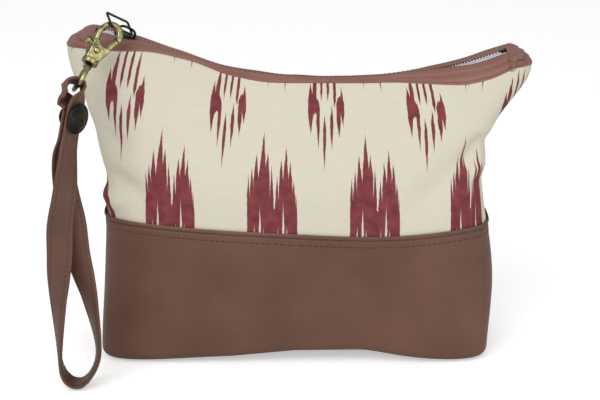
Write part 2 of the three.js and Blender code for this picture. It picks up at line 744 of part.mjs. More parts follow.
// Clasp: X is its width, Z its axis towards the hook; the hook hangs on the pull's lower bar
pouch.updateMatrixWorld(true);
const clasp = new THREE.Group();
clasp.name = 'clasp';
const claspZ = CLASP_AXIS.clone().normalize();
const claspX = CLASP_WIDTH_LINE.clone()
  .addScaledVector(claspZ, -CLASP_WIDTH_LINE.dot(claspZ))
  .normalize();
const claspY = claspZ.clone().cross(claspX);
const hangPoint = pull.localToWorld(V(CLASP_ON_PULL, -(PULL_WIDTH - PULL_WIRE) / 2, 0));
clasp.quaternion.copy(turnTo(claspX, claspY, claspZ));
clasp.position.copy(hangPoint)
  .addScaledVector(claspX, -HOOK_REST_X)
  .addScaledVector(claspZ, -HOOK_REST_Z);
pouch.add(clasp);

/** Hook wire: up the left arm, over the top and down to meet the gate. */
function hookWire() {
  const arc = (degrees) => {
    const angle = THREE.MathUtils.degToRad(degrees);
    const x = HOOK_CENTRE_X + HOOK_RADIUS * Math.cos(angle);
    return V(x, 0, HOOK_CENTRE_Z + HOOK_RADIUS * Math.sin(angle));
  };
  const bend = [185, 150, 120, 90, 60, 30, 0, -32].map(arc);
  const path = new THREE.CatmullRomCurve3([V(-ARM_X, 0, 1), V(-ARM_X, 0, ARM_TOP + 1), ...bend]);
  return wireAlong(path, HOOK_WIRE, 26, 5);
}

/** Body outline below the hook, from the collar to the shoulder that carries the gate. */
function claspOutline() {
  const shape = new THREE.Shape();
  const low = COLLAR_TOP - COLLAR_LAP;
  shape.moveTo(-BODY_NECK, low);
  shape.lineTo(BODY_NECK, low);
  shape.quadraticCurveTo(BODY_RIGHT, low + SHOULDER_X / 2, SHOULDER_X, SHOULDER_Z);
  shape.quadraticCurveTo((THROAT_X + SHOULDER_X) / 2, SHOULDER_Z, THROAT_X, THROAT_Z);
  shape.quadraticCurveTo(ARM_INNER, THROAT_Z, -ARM_INNER, ARM_TOP);
  shape.lineTo(-BODY_LEFT, ARM_TOP);
  shape.closePath();
  return shape;
}

const COLLAR_BOTTOM = COLLAR_TOP - COLLAR_HEIGHT;
const HEAD_BASE = COLLAR_BOTTOM + COLLAR_FLOOR;

/** Body and hook, slotted for the gate, bored for its rivet and for the swivel stem. */
function claspHook() {
  const body = plate(claspOutline(), CLASP_THICK, CLASP_BEVEL);
  const collar = post(COLLAR_DIAMETER, COLLAR_HEIGHT, COLLAR_BOTTOM, 24);
  const slotDepth = ARM_TOP - SLOT_FLOOR + ARM_TOP;
  const slot = new THREE.BoxGeometry(6 * BODY_LEFT, GATE_THICK + 2 * GATE_SLACK, slotDepth);
  slot.translate(0, 0, SLOT_FLOOR + slotDepth / 2);
  const arm = new THREE.BoxGeometry(HOOK_WIRE + 1, 2 * CLASP_THICK, slotDepth);
  arm.translate(-ARM_X, 0, ARM_TOP + slotDepth / 2);
  const pinBore = post(GATE_PIN + 2 * GAP, 3 * CLASP_THICK, -1.5 * CLASP_THICK, 14).rotateX(Math.PI / 2);
  const stemBore = post(STEM + 2 * GAP, COLLAR_HEIGHT, COLLAR_BOTTOM - COLLAR_LAP, 16);
  const headRoom = post(STEM_HEAD + 2 * GAP, STEM_HEAD_HEIGHT + 2 * GAP, HEAD_BASE - GAP, 20);
  return carve([body, hookWire(), collar], [carve([slot], [arm]), pinBore, stemBore, headRoom]);
}

add(clasp, 'clasp_hook', claspHook(), brass);

/** Gate: a blade on the rivet, its closing finger on the right and its thumb lever on the left. */
function claspGate() {
  const low = LEVER_HEIGHT - LEVER_THICK / 2;
  const high = LEVER_HEIGHT + LEVER_THICK / 2;
  const corners = [
    [-0.6 * GATE_HEEL, -GATE_HEEL], [0.85 * GATE_HEEL, -GATE_HEEL], [FINGER_ROOT_X, GATE_HEEL],
    [FINGER_ROOT_X + 1.2, FINGER_ROOT_Z], [FINGER_TIP_X + 1, FINGER_TIP_Z - 0.9],
    [FINGER_TIP_X - 1.6, FINGER_TIP_Z - 0.3], [FINGER_ROOT_X - 1.8, FINGER_ROOT_Z],
    [0, GATE_HEEL], [-LEVER_REACH, high], [-LEVER_REACH, low],
  ];
  const web = plate(new THREE.Shape(corners.map(([x, z]) => new THREE.Vector2(x, z))), GATE_THICK);
  const root = V(FINGER_ROOT_X, 0, FINGER_ROOT_Z);
  const tip = V(FINGER_TIP_X, 0, FINGER_TIP_Z);
  const finger = wireAlong(new THREE.LineCurve3(root, tip), FINGER_WIRE, 1, 4);
  const pad = post(PAD_DIAMETER, PAD_THICK, 0, 16).rotateY(-Math.PI / 2);
  pad.translate(-LEVER_REACH + PAD_THICK / 4, 0, LEVER_HEIGHT);
  const bore = post(GATE_PIN + 2 * GAP, 4 * GATE_THICK, -2 * GATE_THICK, 14).rotateX(Math.PI / 2);
  return carve([web, finger, pad], [bore]);
}

const gate = new THREE.Group();
gate.name = 'gate';
clasp.add(gate);
add(gate, 'clasp_gate', claspGate(), brass);

/** A turned piece about the Y axis from (radius, height) pairs. */
function turned(profile, sides) {
  return new THREE.LatheGeometry(profile.map(([r, y]) => new THREE.Vector2(r, y)), sides);
}

/** Gate rivet with a domed head at each face of the clasp. */
function gatePin() {
  const half = CLASP_THICK / 2 + GAP;
  const head = GATE_PIN * 0.85;
  const upper = [
    [GATE_PIN / 2, half], [head, half], [0.7 * head, half + 0.75 * PIN_DOME], [0, half + PIN_DOME],
  ];
  const lower = upper.map(([r, y]) => [r, -y]).reverse();
  return turned([...lower, ...upper], 14);
}

add(clasp, 'gate_pin', gatePin(), brass);

/** Return spring: a leaf that arches in the slot under the gate's heel. */
function gateSpring() {
  const floor = SLOT_FLOOR + GAP;
  const inner = SPRING_HALF - 1.5 * SPRING_LEAF;
  const shape = new THREE.Shape();
  shape.moveTo(-SPRING_HALF, floor);
  shape.quadraticCurveTo(0, floor + 2 * SPRING_RISE, SPRING_HALF, floor);
  shape.lineTo(inner, floor);
  shape.quadraticCurveTo(0, floor + 2 * (SPRING_RISE - SPRING_LEAF), -inner, floor);
  shape.closePath();
  return plate(shape, GATE_THICK - 2 * GAP);
}

add(clasp, 'gate_spring', gateSpring(), gunmetal);

// Swivel eye: a headed stem in the collar and a wide loop for the strap, across the clasp
const eye = new THREE.Group();
eye.name = 'eye';
eye.rotation.z = THREE.MathUtils.degToRad(EYE_TURN);
clasp.add(eye);

/** Path of the eye's wire: a straight bar below and rounder corners above. */
function eyePath() {
  const half = (EYE_INNER_WIDTH + EYE_WIRE) / 2;
  const corners = [
    [1, EYE_TOP - EYE_ARCH, EYE_ARCH], [-1, EYE_TOP - EYE_ARCH, EYE_ARCH],
    [-1, EYE_BAR + EYE_CORNER, EYE_CORNER], [1, EYE_BAR + EYE_CORNER, EYE_CORNER],
  ];
  const steps = 5;
  const points = [];
  corners.forEach(([hand, level, radius], quarter) => {
    for (let k = 0; k <= steps; k += 1) {
      const angle = (quarter + k / steps) * (Math.PI / 2);
      points.push(V(0, hand * (half - radius) + radius * Math.cos(angle), level + radius * Math.sin(angle)));
    }
  });
  return points;
}

/** Eye loop joined to its stem and head. */
function swivelEye() {
  const loop = wireLoop(eyePath(), V(1, 0, 0), EYE_WIRE, 10);
  const stem = post(STEM, HEAD_BASE - EYE_TOP + STEM_HEAD_HEIGHT / 2, EYE_TOP, 16);
  const shoulder = post(EYE_SHOULDER, EYE_SHOULDER_HEIGHT, EYE_TOP + WELD, 16);
  const head = post(STEM_HEAD, STEM_HEAD_HEIGHT, HEAD_BASE, 20);
  return carve([loop, stem, shoulder, head]);
}

add(eye, 'swivel_eye', swivelEye(), brass);

// Wrist strap: one band folded into a long loop over the eye's bar
pouch.updateMatrixWorld(true);
const strap = new THREE.Group();
strap.name = 'strap';
strap.position.copy(eye.localToWorld(V(0, 0, EYE_BAR)));
pouch.add(strap);

const BAR_CLEAR = EYE_WIRE / 2 + 3 * GAP + STRAP_THICK / 2;
const barLine = V(0, 1, 0).applyQuaternion(eye.getWorldQuaternion(new THREE.Quaternion()));
const barSide = V(1, 0, 0).addScaledVector(barLine, -barLine.x).normalize();
const barTop = barSide.clone().cross(barLine);
const BAND_PITCH = STRAP_THICK + GAP;
const STRAP_DROP = strap.position.z - STRAP_THICK / 2 - STRAP_OFF_GROUND;
const LOOP_TURN = STRAP_DROP - LOOP_ROUND;
const rivetTurn = THREE.MathUtils.degToRad(RIVET_TURN);
const rivetSide = V(Math.cos(rivetTurn), -Math.sin(rivetTurn), 0);
const pitch = rivetSide.clone().multiplyScalar(BAND_PITCH);
const topSpread = barSide.clone().multiplyScalar(2 * TOP_BULGE);
const topLeg = barSide.clone().multiplyScalar(BAR_CLEAR).addScaledVector(pitch, -0.5);

/** A drop between the rivet and the turn of the loop, by its share of the way. */
function hang(share) {
  return lerp(RIVET_DROP + 0.56 * RIVET_CAP, LOOP_TURN, share);
}

// The legs lie together at the rivet; below it the loop turns half round, so that they pass each other
const strapX = through([
  [0, topLeg.x], [BAND_MEET, 0.24 * STRAP_DRIFT], [hang(0), 0.67 * STRAP_DRIFT],
  [hang(0.085), 0.98 * STRAP_DRIFT],
  [hang(0.27), STRAP_DRIFT], [hang(0.54), 0.9 * STRAP_DRIFT], [hang(0.76), 0.6 * STRAP_DRIFT],
  [LOOP_TURN, 0.36 * STRAP_DRIFT], [STRAP_DROP, 0.55 * STRAP_DRIFT],
]);
const strapY = through([
  [0, topLeg.y], [BAND_MEET, -0.08 * STRAP_SWAY], [hang(0), -0.22 * STRAP_SWAY],
  [hang(0.35), -0.6 * STRAP_SWAY],
  [hang(0.75), -0.87 * STRAP_SWAY], [STRAP_DROP, -STRAP_SWAY],
]);
const spreadX = through([
  [0, topSpread.x], [0.5 * BAND_MEET, topSpread.x], [BAND_MEET, pitch.x], [hang(0), pitch.x],
  [hang(0.085), 0.18 * LOOP_SPREAD], [hang(0.26), 0], [hang(0.4), -0.28 * LOOP_SPREAD],
  [hang(0.54), -0.41 * LOOP_SPREAD], [hang(0.65), -0.61 * LOOP_SPREAD],
  [hang(0.755), -0.79 * LOOP_SPREAD], [LOOP_TURN, -LOOP_SPREAD],
]);
const spreadY = through([
  [0, topSpread.y], [BAND_MEET, pitch.y], [hang(0), pitch.y],
  [hang(0.085), -0.5 * LEGS_APART], [hang(0.26), -0.9 * LEGS_APART], [hang(0.4), -LEGS_APART],
  [hang(0.54), -LEGS_APART], [hang(0.755), -0.6 * LEGS_APART], [LOOP_TURN, -0.25 * LEGS_APART],
]);
const loopTurn = through([
  [0, RIVET_TURN], [hang(0), RIVET_TURN], [hang(0.09), lerp(RIVET_TURN, 180, 0.03)],
  [hang(0.26), lerp(RIVET_TURN, 180, 0.2)], [hang(0.54), lerp(RIVET_TURN, 180, 0.45)],
  [hang(0.65), lerp(RIVET_TURN, 180, 0.57)], [hang(0.755), lerp(RIVET_TURN, 180, 0.7)],
  [LOOP_TURN, lerp(RIVET_TURN, 180, 0.91)], [STRAP_DROP, 180],
]);

/** Centre of a strap leg at a drop below the eye's bar, and the line across its width. */
function strapLeg(hand, drop) {
  const turn = THREE.MathUtils.degToRad(loopTurn(drop));
  const across = V(-Math.sin(turn), -Math.cos(turn), 0);
  const straight = 1 - smooth(drop, 0, 0.8 * BAND_MEET);
  across.lerp(barLine.clone().negate(), straight).normalize();
  let spread = spreadX(drop);
  let fore = spreadY(drop);
  if (drop > LOOP_TURN) {
    const round = Math.sqrt(Math.max(1 - ((drop - LOOP_TURN) / (STRAP_DROP - LOOP_TURN)) ** 2, 0));
    spread *= round;
    fore *= round;
  }
  const centre = V(strapX(drop) + (hand * spread) / 2, strapY(drop) + (hand * fore) / 2, -drop);
  if (drop < BAND_MEET) centre.add(V((pitch.x - spread) / 2, (pitch.y - fore) / 2, 0));
  return { centre, across };
}

/** Stations round the loop: over the bar, down the leg on its right, round the turn and up the other leg. */
function strapStations() {
  const stations = [];
  const barSteps = 6;
  const legStep = 6;
  for (let k = 0; k <= barSteps; k += 1) {
    const angle = Math.PI * (1 - k / barSteps);
    const centre = barSide.clone().multiplyScalar(BAR_CLEAR - TOP_BULGE * (1 - Math.cos(angle)))
      .addScaledVector(barTop, TOP_RISE * Math.sin(angle));
    stations.push({ centre, across: barLine.clone().negate() });
  }
  const drops = [];
  for (let drop = BAND_MEET / 4; drop < BAND_MEET; drop += BAND_MEET / 4) drops.push(drop);
  for (let drop = BAND_MEET; drop < LOOP_TURN - legStep / 2; drop += legStep) drops.push(drop);
  for (const angle of [0, 18, 36, 54, 70, 82]) {
    drops.push(LOOP_TURN + (STRAP_DROP - LOOP_TURN) * Math.sin(THREE.MathUtils.degToRad(angle)));
  }
  for (const drop of drops) stations.push(strapLeg(1, drop));
  stations.push(strapLeg(1, STRAP_DROP));
  for (const drop of drops.toReversed()) stations.push(strapLeg(-1, drop));
  return stations;
}

/** The band: a flat section with eased edges carried round the stations. */
function strapBand() {
  const stations = strapStations();
  const ease = STRAP_THICK * 0.3;
  const wide = STRAP_WIDTH / 2;
  const deep = STRAP_THICK / 2;
  const section = [
    [-wide, -ease], [-wide + ease, -deep], [wide - ease, -deep], [wide, -ease],
    [wide, ease], [wide - ease, deep], [-wide + ease, deep], [-wide, ease],
  ];
  const rings = stations.map(({ centre, across }, i) => {
    const before = stations[(i + stations.length - 1) % stations.length].centre;
    const after = stations[(i + 1) % stations.length].centre;
    const run = after.clone().sub(before);
    const thick = across.clone().cross(run).normalize();
    const width = run.clone().cross(thick).normalize();
    return section.map(([w, t]) => centre.clone().addScaledVector(width, w).addScaledVector(thick, t));
  });
  return loft(rings, { closed: true });
}

const rivetCentre = strapLeg(1, RIVET_DROP).centre.lerp(strapLeg(-1, RIVET_DROP).centre, 0.5);
const rivetRun = strapLeg(1, RIVET_DROP + 1).centre.sub(strapLeg(1, RIVET_DROP - 1).centre);
const rivetLine = strapLeg(1, RIVET_DROP).across.cross(rivetRun).normalize();
const RIVET_GRIP = BAND_PITCH / 2 + STRAP_THICK / 2 + 4 * GAP;

/** Turns a piece from the X axis to the rivet's line, and moves it out along that line. */
function atRivet(geometry, out = 0) {
  const place = rivetCentre.clone().addScaledVector(rivetLine, out);
  const turn = new THREE.Quaternion().setFromUnitVectors(V(1, 0, 0), rivetLine);
  return geometry.applyQuaternion(turn).translate(place.x, place.y, place.z);
}

/** Domed rivet cap with a rolled rim, on one side of the strap. */
function rivetDome(hand, diameter, dome) {
  const r = diameter / 2;
  const roll = RIVET_RIM / 3;
  const cap = turned([
    [0, 0], [r - roll, 0], [r, roll], [r, 2 * roll], [r - roll, RIVET_RIM], [r - 3 * roll, RIVET_RIM - 0.1],
    [0.68 * r, 0.8 * dome], [0.4 * r, 0.95 * dome], [0, dome],
  ], 18);
  return atRivet(cap.rotateZ((-hand * Math.PI) / 2), hand * RIVET_GRIP);
}

/** A round bar through the strap at the rivet, out to a distance on each side. */
function rivetBar(diameter, half) {
  return atRivet(post(diameter, 2 * half, -half, 14).rotateY(Math.PI / 2));
}

const rivetHole = rivetBar(RIVET_POST + 2 * GAP, 3 * RIVET_GRIP);
add(strap, 'wrist_strap', carve([strapBand()], [rivetHole]), leather);
add(strap, 'rivet_post', rivetBar(RIVET_POST, RIVET_GRIP - GAP / 3), gunmetal);
add(strap, 'rivet_cap', rivetDome(1, RIVET_CAP, RIVET_DOME), gunmetal);
add(strap, 'rivet_back', rivetDome(-1, RIVET_BACK, RIVET_BACK_DOME), gunmetal);

export default pouch;
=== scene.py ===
"""Looks of a zip travel pouch with a clip-on wrist strap.

The lower half is brown leather, the upper half cream cloth with a woven-print pattern, and the top is a
leather zip gusset. Units are metres, +Z is up, the front faces -Y and the base stands on Z = 0.
"""

import json
import logging
import math
from collections.abc import Callable, Iterable, Sequence
from dataclasses import dataclass, field
from enum import Enum

import bmesh
import bpy
from mathutils import Matrix, Vector, noise

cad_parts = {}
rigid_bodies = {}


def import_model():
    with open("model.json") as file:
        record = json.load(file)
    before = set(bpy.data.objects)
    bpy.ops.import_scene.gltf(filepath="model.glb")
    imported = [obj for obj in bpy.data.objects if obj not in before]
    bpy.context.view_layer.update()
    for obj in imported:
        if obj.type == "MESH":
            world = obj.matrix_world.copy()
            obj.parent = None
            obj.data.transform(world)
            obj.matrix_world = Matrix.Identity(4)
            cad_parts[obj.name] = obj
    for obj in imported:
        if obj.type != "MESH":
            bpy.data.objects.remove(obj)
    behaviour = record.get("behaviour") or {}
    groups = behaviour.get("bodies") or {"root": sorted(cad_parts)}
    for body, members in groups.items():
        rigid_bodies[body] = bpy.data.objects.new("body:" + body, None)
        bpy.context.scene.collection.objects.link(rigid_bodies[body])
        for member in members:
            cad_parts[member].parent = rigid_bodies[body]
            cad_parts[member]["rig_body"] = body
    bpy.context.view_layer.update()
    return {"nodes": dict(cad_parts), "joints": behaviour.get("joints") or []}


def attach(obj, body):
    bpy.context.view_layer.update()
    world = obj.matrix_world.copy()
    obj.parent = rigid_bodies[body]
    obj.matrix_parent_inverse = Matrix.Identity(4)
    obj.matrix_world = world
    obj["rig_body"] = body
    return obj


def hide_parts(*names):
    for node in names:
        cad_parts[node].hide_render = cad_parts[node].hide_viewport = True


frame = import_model()

logging.basicConfig(level=logging.INFO, format="%(message)s")
log = logging.getLogger("pouch")

MM = 0.001
Mesh = bmesh.types.BMesh
Socket = bpy.types.NodeSocket
Tree = bpy.types.NodeTree
Material = bpy.types.Material
Place = Callable[[float, float], Vector]
Pair = tuple[float, float]
Colour = tuple[float, float, float]
Value = float | Socket


class Side(Enum):
    """The two walls of the pouch, by the sign of Y on which they stand."""

    FRONT = -1
    BACK = 1


class Hand(Enum):
    """Left and right as seen from the front, by the sign of X."""

    LEFT = -1
    RIGHT = 1


class Slot(Enum):
    """The record's material slots."""

    LEATHER = "leather"
    GUSSET = "gusset_leather"
    CLOTH = "printed_cloth"
    LINING = "lining_cloth"
    TAPE = "zip_tape"
    NYLON = "zip_nylon"
    BRASS = "antique_brass"
    GUNMETAL = "gunmetal"


def mix(a: float, b: float, share: float) -> float:
    """A value a share of the way from a to b."""
    return a + (b - a) * share


def smooth(value: float, low: float, high: float) -> float:
    """An eased step from 0 at low to 1 at high."""
    t = min(max((value - low) / (high - low), 0.0), 1.0)
    return t * t * (3 - 2 * t)


def bump(value: float, centre: float, width: float) -> float:
    """A round bump of height 1 at its centre."""
    return math.exp(-(((value - centre) / width) ** 2))


class Curve:
    """A smooth curve through (place, value) pairs in rising order, level where its values turn."""

    def __init__(self, pairs: Sequence[Pair]) -> None:
        """Keeps the pairs and works out the slope at each.

        Args:
            pairs: Places in rising order, each with its value.
        """
        self.pairs = list(pairs)
        last = len(self.pairs) - 1
        self.slopes = [self._slope(max(i - 1, 0), i, min(i + 1, last)) for i in range(last + 1)]

    def _slope(self, before: int, here: int, after: int) -> float:
        """Slope at a pair, 0 where the values turn there."""
        (p0, v0), (_, v), (p1, v1) = self.pairs[before], self.pairs[here], self.pairs[after]
        return 0.0 if (v - v0) * (v1 - v) <= 0 else (v1 - v0) / (p1 - p0)

    def __call__(self, at: float) -> float:
        """The curve's value at a place.

        Args:
            at: A place; past the ends the end values hold.

        Returns:
            The value there.
        """
        if at <= self.pairs[0][0]:
            return self.pairs[0][1]
        for i in range(1, len(self.pairs)):
            p0, v0 = self.pairs[i - 1]
            p1, v1 = self.pairs[i]
            if at <= p1:
                span = p1 - p0
                t = (at - p0) / span
                start, end, rise = self.slopes[i - 1] * span, self.slopes[i] * span, v1 - v0
                return v0 + t * (start + t * (3 * rise - 2 * start - end + t * (start + end - 2 * rise)))
        return self.pairs[-1][1]


@dataclass(frozen=True)
class Fold:
    """A soft ridge or valley in a wall, from one place on it to another.

    Places are (x, z) seen from the front, and a positive height stands out of the wall.
    """

    start: Pair
    end: Pair
    width: float
    height: float

    def at(self, x: float, z: float) -> float:
        """How far the fold moves the wall out at a place.

        Args:
            x: Place across the pouch.
            z: Height.

        Returns:
            The move along the wall's outward line.
        """
        run = Vector((self.end[0] - self.start[0], self.end[1] - self.start[1]))
        here = Vector((x - self.start[0], z - self.start[1]))
        share = here.dot(run) / run.length_squared
        nearest = run * min(max(share, 0.0), 1.0)
        off = (here - nearest).length
        taper = smooth(share, -0.25, 0.35) * (1 - smooth(share, 0.65, 1.25))
        return self.height * taper * math.exp(-((off / self.width) ** 2))


@dataclass
class PouchForm:
    """Shape of the sewn body: side seams, top seams, hem and wall depth, as the solids have it."""

    base_round: float = 0.006
    base_half_depth: float = 0.040
    belly_half_depth: float = 0.042
    belly_height: float = 0.045
    waist_half_depth: float = 0.038
    waist_height: float = 0.124
    lean_start: float = 0.104
    base_squareness: float = 7.0
    hem_squareness: float = 3.4
    top_squareness: float = 4.5
    left_base: float = 0.1225
    left_waist: float = 0.118
    left_waist_height: float = 0.109
    left_flare: float = 0.126
    left_top: float = 0.1385
    right_base: float = 0.119
    right_belly: float = 0.1225
    right_waist: float = 0.1135
    right_flare: float = 0.1215
    right_top: float = 0.142
    flare_height: float = 0.148
    hem_middle: float = 0.0835
    hem_left: float = 0.091
    hem_right: float = 0.086
    seam_left: float = 0.196
    seam_dip: float = 0.173
    seam_right: float = 0.1845
    seam_end_depth: float = 0.031
    seam_shoulder_depth: float = 0.029
    seam_dip_depth: float = 0.0125
    back_dip: float = 0.1675
    seam_rise: float = 0.0002
    side_blend: float = 0.02
    folds: dict[Side, tuple[Fold, ...]] = field(default_factory=dict)

    def __post_init__(self) -> None:
        """Draws the curves that the sizes give."""
        self.left_seam = Curve([
            (0, -self.left_base), (self.left_waist_height, -self.left_waist),
            (self.flare_height, -self.left_flare), (self.seam_left, -self.left_top),
        ])
        self.right_seam = Curve([
            (0, self.right_base), (self.belly_height, self.right_belly),
            (self.waist_height, self.right_waist), (self.flare_height, self.right_flare),
            (self.seam_right, self.right_top),
        ])
        left_rise, right_rise = self.seam_left - self.seam_dip, self.seam_right - self.seam_dip
        self.front_seam = Curve([
            (-self.left_top, self.seam_left), (-0.68 * self.left_top, self.seam_left),
            (-0.47 * self.left_top, self.seam_dip + 0.70 * left_rise),
            (-0.27 * self.left_top, self.seam_dip + 0.17 * left_rise),
            (-0.07 * self.left_top, self.seam_dip), (0.67 * self.right_top, self.seam_dip),
            (0.8 * self.right_top, self.seam_dip + 0.35 * right_rise),
            (0.91 * self.right_top, self.seam_dip + 0.92 * right_rise),
            (self.right_top, self.seam_right),
        ])
        left_fall, right_fall = self.seam_left - self.back_dip, self.seam_right - self.back_dip
        self.back_seam = Curve([
            (-self.left_top, self.seam_left), (-0.9 * self.left_top, self.back_dip + 0.95 * left_fall),
            (-0.76 * self.left_top, self.back_dip + 0.83 * left_fall),
            (-0.55 * self.left_top, self.back_dip + 0.59 * left_fall),
            (-0.3 * self.left_top, self.back_dip + 0.19 * left_fall),
            (0.05 * self.left_top, self.back_dip + 0.04 * left_fall),
            (0.3 * self.right_top, self.back_dip),
            (0.52 * self.right_top, self.back_dip + 0.07 * right_fall),
            (0.67 * self.right_top, self.back_dip + 0.37 * right_fall),
            (0.85 * self.right_top, self.back_dip + 0.85 * right_fall),
            (self.right_top, self.seam_right),
        ])
        self.seam_depth = Curve([
            (-self.left_top, self.seam_end_depth), (-0.7 * self.left_top, self.seam_shoulder_depth),
            (-0.2 * self.left_top, self.seam_dip_depth), (0.3 * self.right_top, self.seam_dip_depth),
            (0.66 * self.right_top, mix(self.seam_dip_depth, self.seam_shoulder_depth, 0.55)),
            (0.85 * self.right_top, self.seam_shoulder_depth), (self.right_top, self.seam_end_depth),
        ])
        self.squareness = Curve([
            (0, self.base_squareness), (0.45 * self.hem_middle, 1.15 * self.hem_squareness),
            (self.hem_middle, self.hem_squareness), (self.seam_left, self.top_squareness),
        ])
        self.hem = Curve([
            (-self.left_base, self.hem_left),
            (-0.24 * self.left_base, mix(self.hem_middle, self.hem_left, 0.43)),
            (0.42 * self.right_base, self.hem_middle), (self.right_base, self.hem_right),
        ])
        self.body_depth = Curve([
            (0, self.base_half_depth), (self.belly_height, self.belly_half_depth),
            (self.waist_height, self.waist_half_depth),
        ])

    def seam_height(self, side: Side, x: float) -> float:
        """Height of a top seam."""
        return self.front_seam(x) if side is Side.FRONT else self.back_seam(x)

    def hem_height(self, x: float) -> float:
        """Height of the leather's top edge."""
        return self.hem(x)

    def base_turn(self, z: float) -> float:
        """How far the wall turns in under the pouch near the ground."""
        below = min(max(self.base_round - z, 0.0), self.base_round)
        return self.base_round - math.sqrt(self.base_round**2 - below**2)

    def half_depth(self, side: Side, x: float, z: float) -> float:
        """Half depth of the pouch at a place, before its corners round off."""
        share = smooth(z, self.lean_start, self.seam_height(side, x))
        return mix(self.body_depth(z), self.seam_depth(x), share) - self.base_turn(z)

    def wall(self, side: Side, along: float, z: float) -> Vector:
        """A point on a wall's outer face, smooth and without folds.

        Args:
            side: Front or back.
            along: Share of the way from the left seam to the right.
            z: Height.

        Returns:
            The point.
        """
        angle = math.pi * (1 - along)
        left = self.left_seam(z) + self.base_turn(z)
        right = self.right_seam(z) - self.base_turn(z)
        power = 2 / self.squareness(z)
        across = math.copysign(abs(math.cos(angle)) ** power, math.cos(angle))
        x = (left + right) / 2 + (right - left) / 2 * across
        depth = self.half_depth(side, x, z) * abs(math.sin(angle)) ** power
        return Vector((x, side.value * depth, z))

    def top_reach(self, side: Side, x: float) -> float:
        """How far a top seam stands from the middle of the pouch at a place across it.

        Args:
            side: Front or back.
            x: Place across the pouch.

        Returns:
            The distance.
        """
        z = self.seam_height(side, x)
        left, right, square = self.left_seam(z), self.right_seam(z), self.squareness(z)
        across = min(abs(2 * x - left - right) / (right - left), 1.0)
        return self.half_depth(side, x, z) * (1 - across**square) ** (1 / square)

    def top_rim(self, side: Side, hand: Hand, start: float, share: float, inset: float) -> Vector:
        """A point on the rounded end of a top seam.

        Args:
            side: Front or back.
            hand: Left or right end.
            start: Place across the pouch where the rounded end begins.
            share: 1 at the beginning and 0 at the tip.
            inset: Distance kept inside the seam.

        Returns:
            The point.
        """
        tip = self.seam_left if hand is Hand.LEFT else self.seam_right
        left, right, square = self.left_seam(tip), self.right_seam(tip), self.squareness(tip)
        across = abs(2 * start - left - right) / (right - left)
        turn = math.acos(across ** (square / 2)) * share
        x = (left + right) / 2 + hand.value * (right - left) / 2 * math.cos(turn) ** (2 / square)
        depth = self.half_depth(side, x, self.seam_height(side, x)) * math.sin(turn) ** (2 / square)
        point = Vector((x, side.value * depth, self.seam_height(side, x) + self.seam_rise))
        flat = Vector((point.x - start, point.y, 0.0))
        return point - flat.normalized() * inset

    def outward(self, side: Side, along: float, z: float) -> Vector:
        """The wall's outward line at a place.

        Args:
            side: Front or back.
            along: Share of the way from the left seam to the right.
            z: Height.

        Returns:
            The line, of length 1.
        """
        ds, dz = 0.004, 0.0005
        s = min(max(along, ds), 1 - ds)
        low = max(z - dz, self.base_round / 2)
        run = self.wall(side, s + ds, z) - self.wall(side, s - ds, z)
        rise = self.wall(side, s, low + 2 * dz) - self.wall(side, s, low)
        out = run.cross(rise) * -side.value
        if along < 1e-6 or along > 1 - 1e-6:
            out.y = 0.0
        return out.normalized()

    def fold_height(self, side: Side, x: float, z: float) -> float:
        """Sum of a wall's folds at a place."""
        return sum(fold.at(x, z) for fold in self.folds.get(side, ()))

    def skin(self, side: Side, along: float, z: float, proud: float) -> Vector:
        """A point on a wall with its folds, moved out from the plain face by a distance.

        Args:
            side: Front or back.
            along: Share of the way from the left seam to the right.
            z: Height.
            proud: Distance out from the plain face.

        Returns:
            The point.
        """
        point = self.wall(side, along, z)
        own = self.fold_height(side, point.x, z)
        shared = sum(self.fold_height(wall, point.x, z) for wall in Side) / 2
        move = proud + mix(shared, own, smooth(min(along, 1 - along), 0.0, self.side_blend))
        return point + self.outward(side, along, z) * move


def grid(columns: int, rows: int, place: Place, print_at: Place | None = None) -> Mesh:
    """A sheet of quads whose corners are placed one by one.

    Args:
        columns: Quads along the sheet.
        rows: Quads up the sheet.
        place: Point for a share along and a share up.
        print_at: Place on the flat cloth for the same shares, kept as the piece's UV map.

    Returns:
        The sheet.
    """
    bm = bmesh.new()
    bmesh.ops.create_grid(bm, x_segments=columns, y_segments=rows, size=0.5)
    shares = {vert: (vert.co.x + 0.5, vert.co.y + 0.5) for vert in bm.verts}
    if print_at is not None:
        layer = bm.loops.layers.uv.new("print")
        for face in bm.faces:
            for loop in face.loops:
                loop[layer].uv = print_at(*shares[loop.vert]).to_2d()
    for vert, (along, up) in shares.items():
        vert.co = place(along, up)
    return bm


def new_parts(made: dict, kind: type) -> list:
    """The vertices, edges or faces that an operator made."""
    return [part for part in made["geom"] if isinstance(part, kind)]


def sweep(section: Sequence[Pair], stations: Sequence[Matrix], closed: bool = False) -> Mesh:
    """Carries a closed section through stations by extrusion.

    Args:
        section: The section's corners in the stations' XY plane.
        stations: Frames along the way; Z runs along it.
        closed: Whether the last station joins the first again.

    Returns:
        The solid.
    """
    bm = bmesh.new()
    ring = [bm.verts.new(stations[0] @ Vector((u, v, 0.0))) for u, v in section]
    edges = [bm.edges.new((ring[k - 1], ring[k])) for k in range(len(ring))]
    first = list(edges)
    way = [*stations, stations[0]] if closed else list(stations)
    for before, after in zip(way, way[1:]):
        made = bmesh.ops.extrude_edge_only(bm, edges=edges)
        verts = new_parts(made, bmesh.types.BMVert)
        fresh = set(verts)
        edges = [e for e in new_parts(made, bmesh.types.BMEdge) if fresh.issuperset(e.verts)]
        bmesh.ops.transform(bm, matrix=after @ before.inverted(), verts=verts)
    if closed:
        bmesh.ops.remove_doubles(bm, verts=bm.verts, dist=1e-6)
    else:
        bmesh.ops.edgeloop_fill(bm, edges=first)
        bmesh.ops.edgeloop_fill(bm, edges=edges)
    bmesh.ops.recalc_face_normals(bm, faces=bm.faces)
    return bm


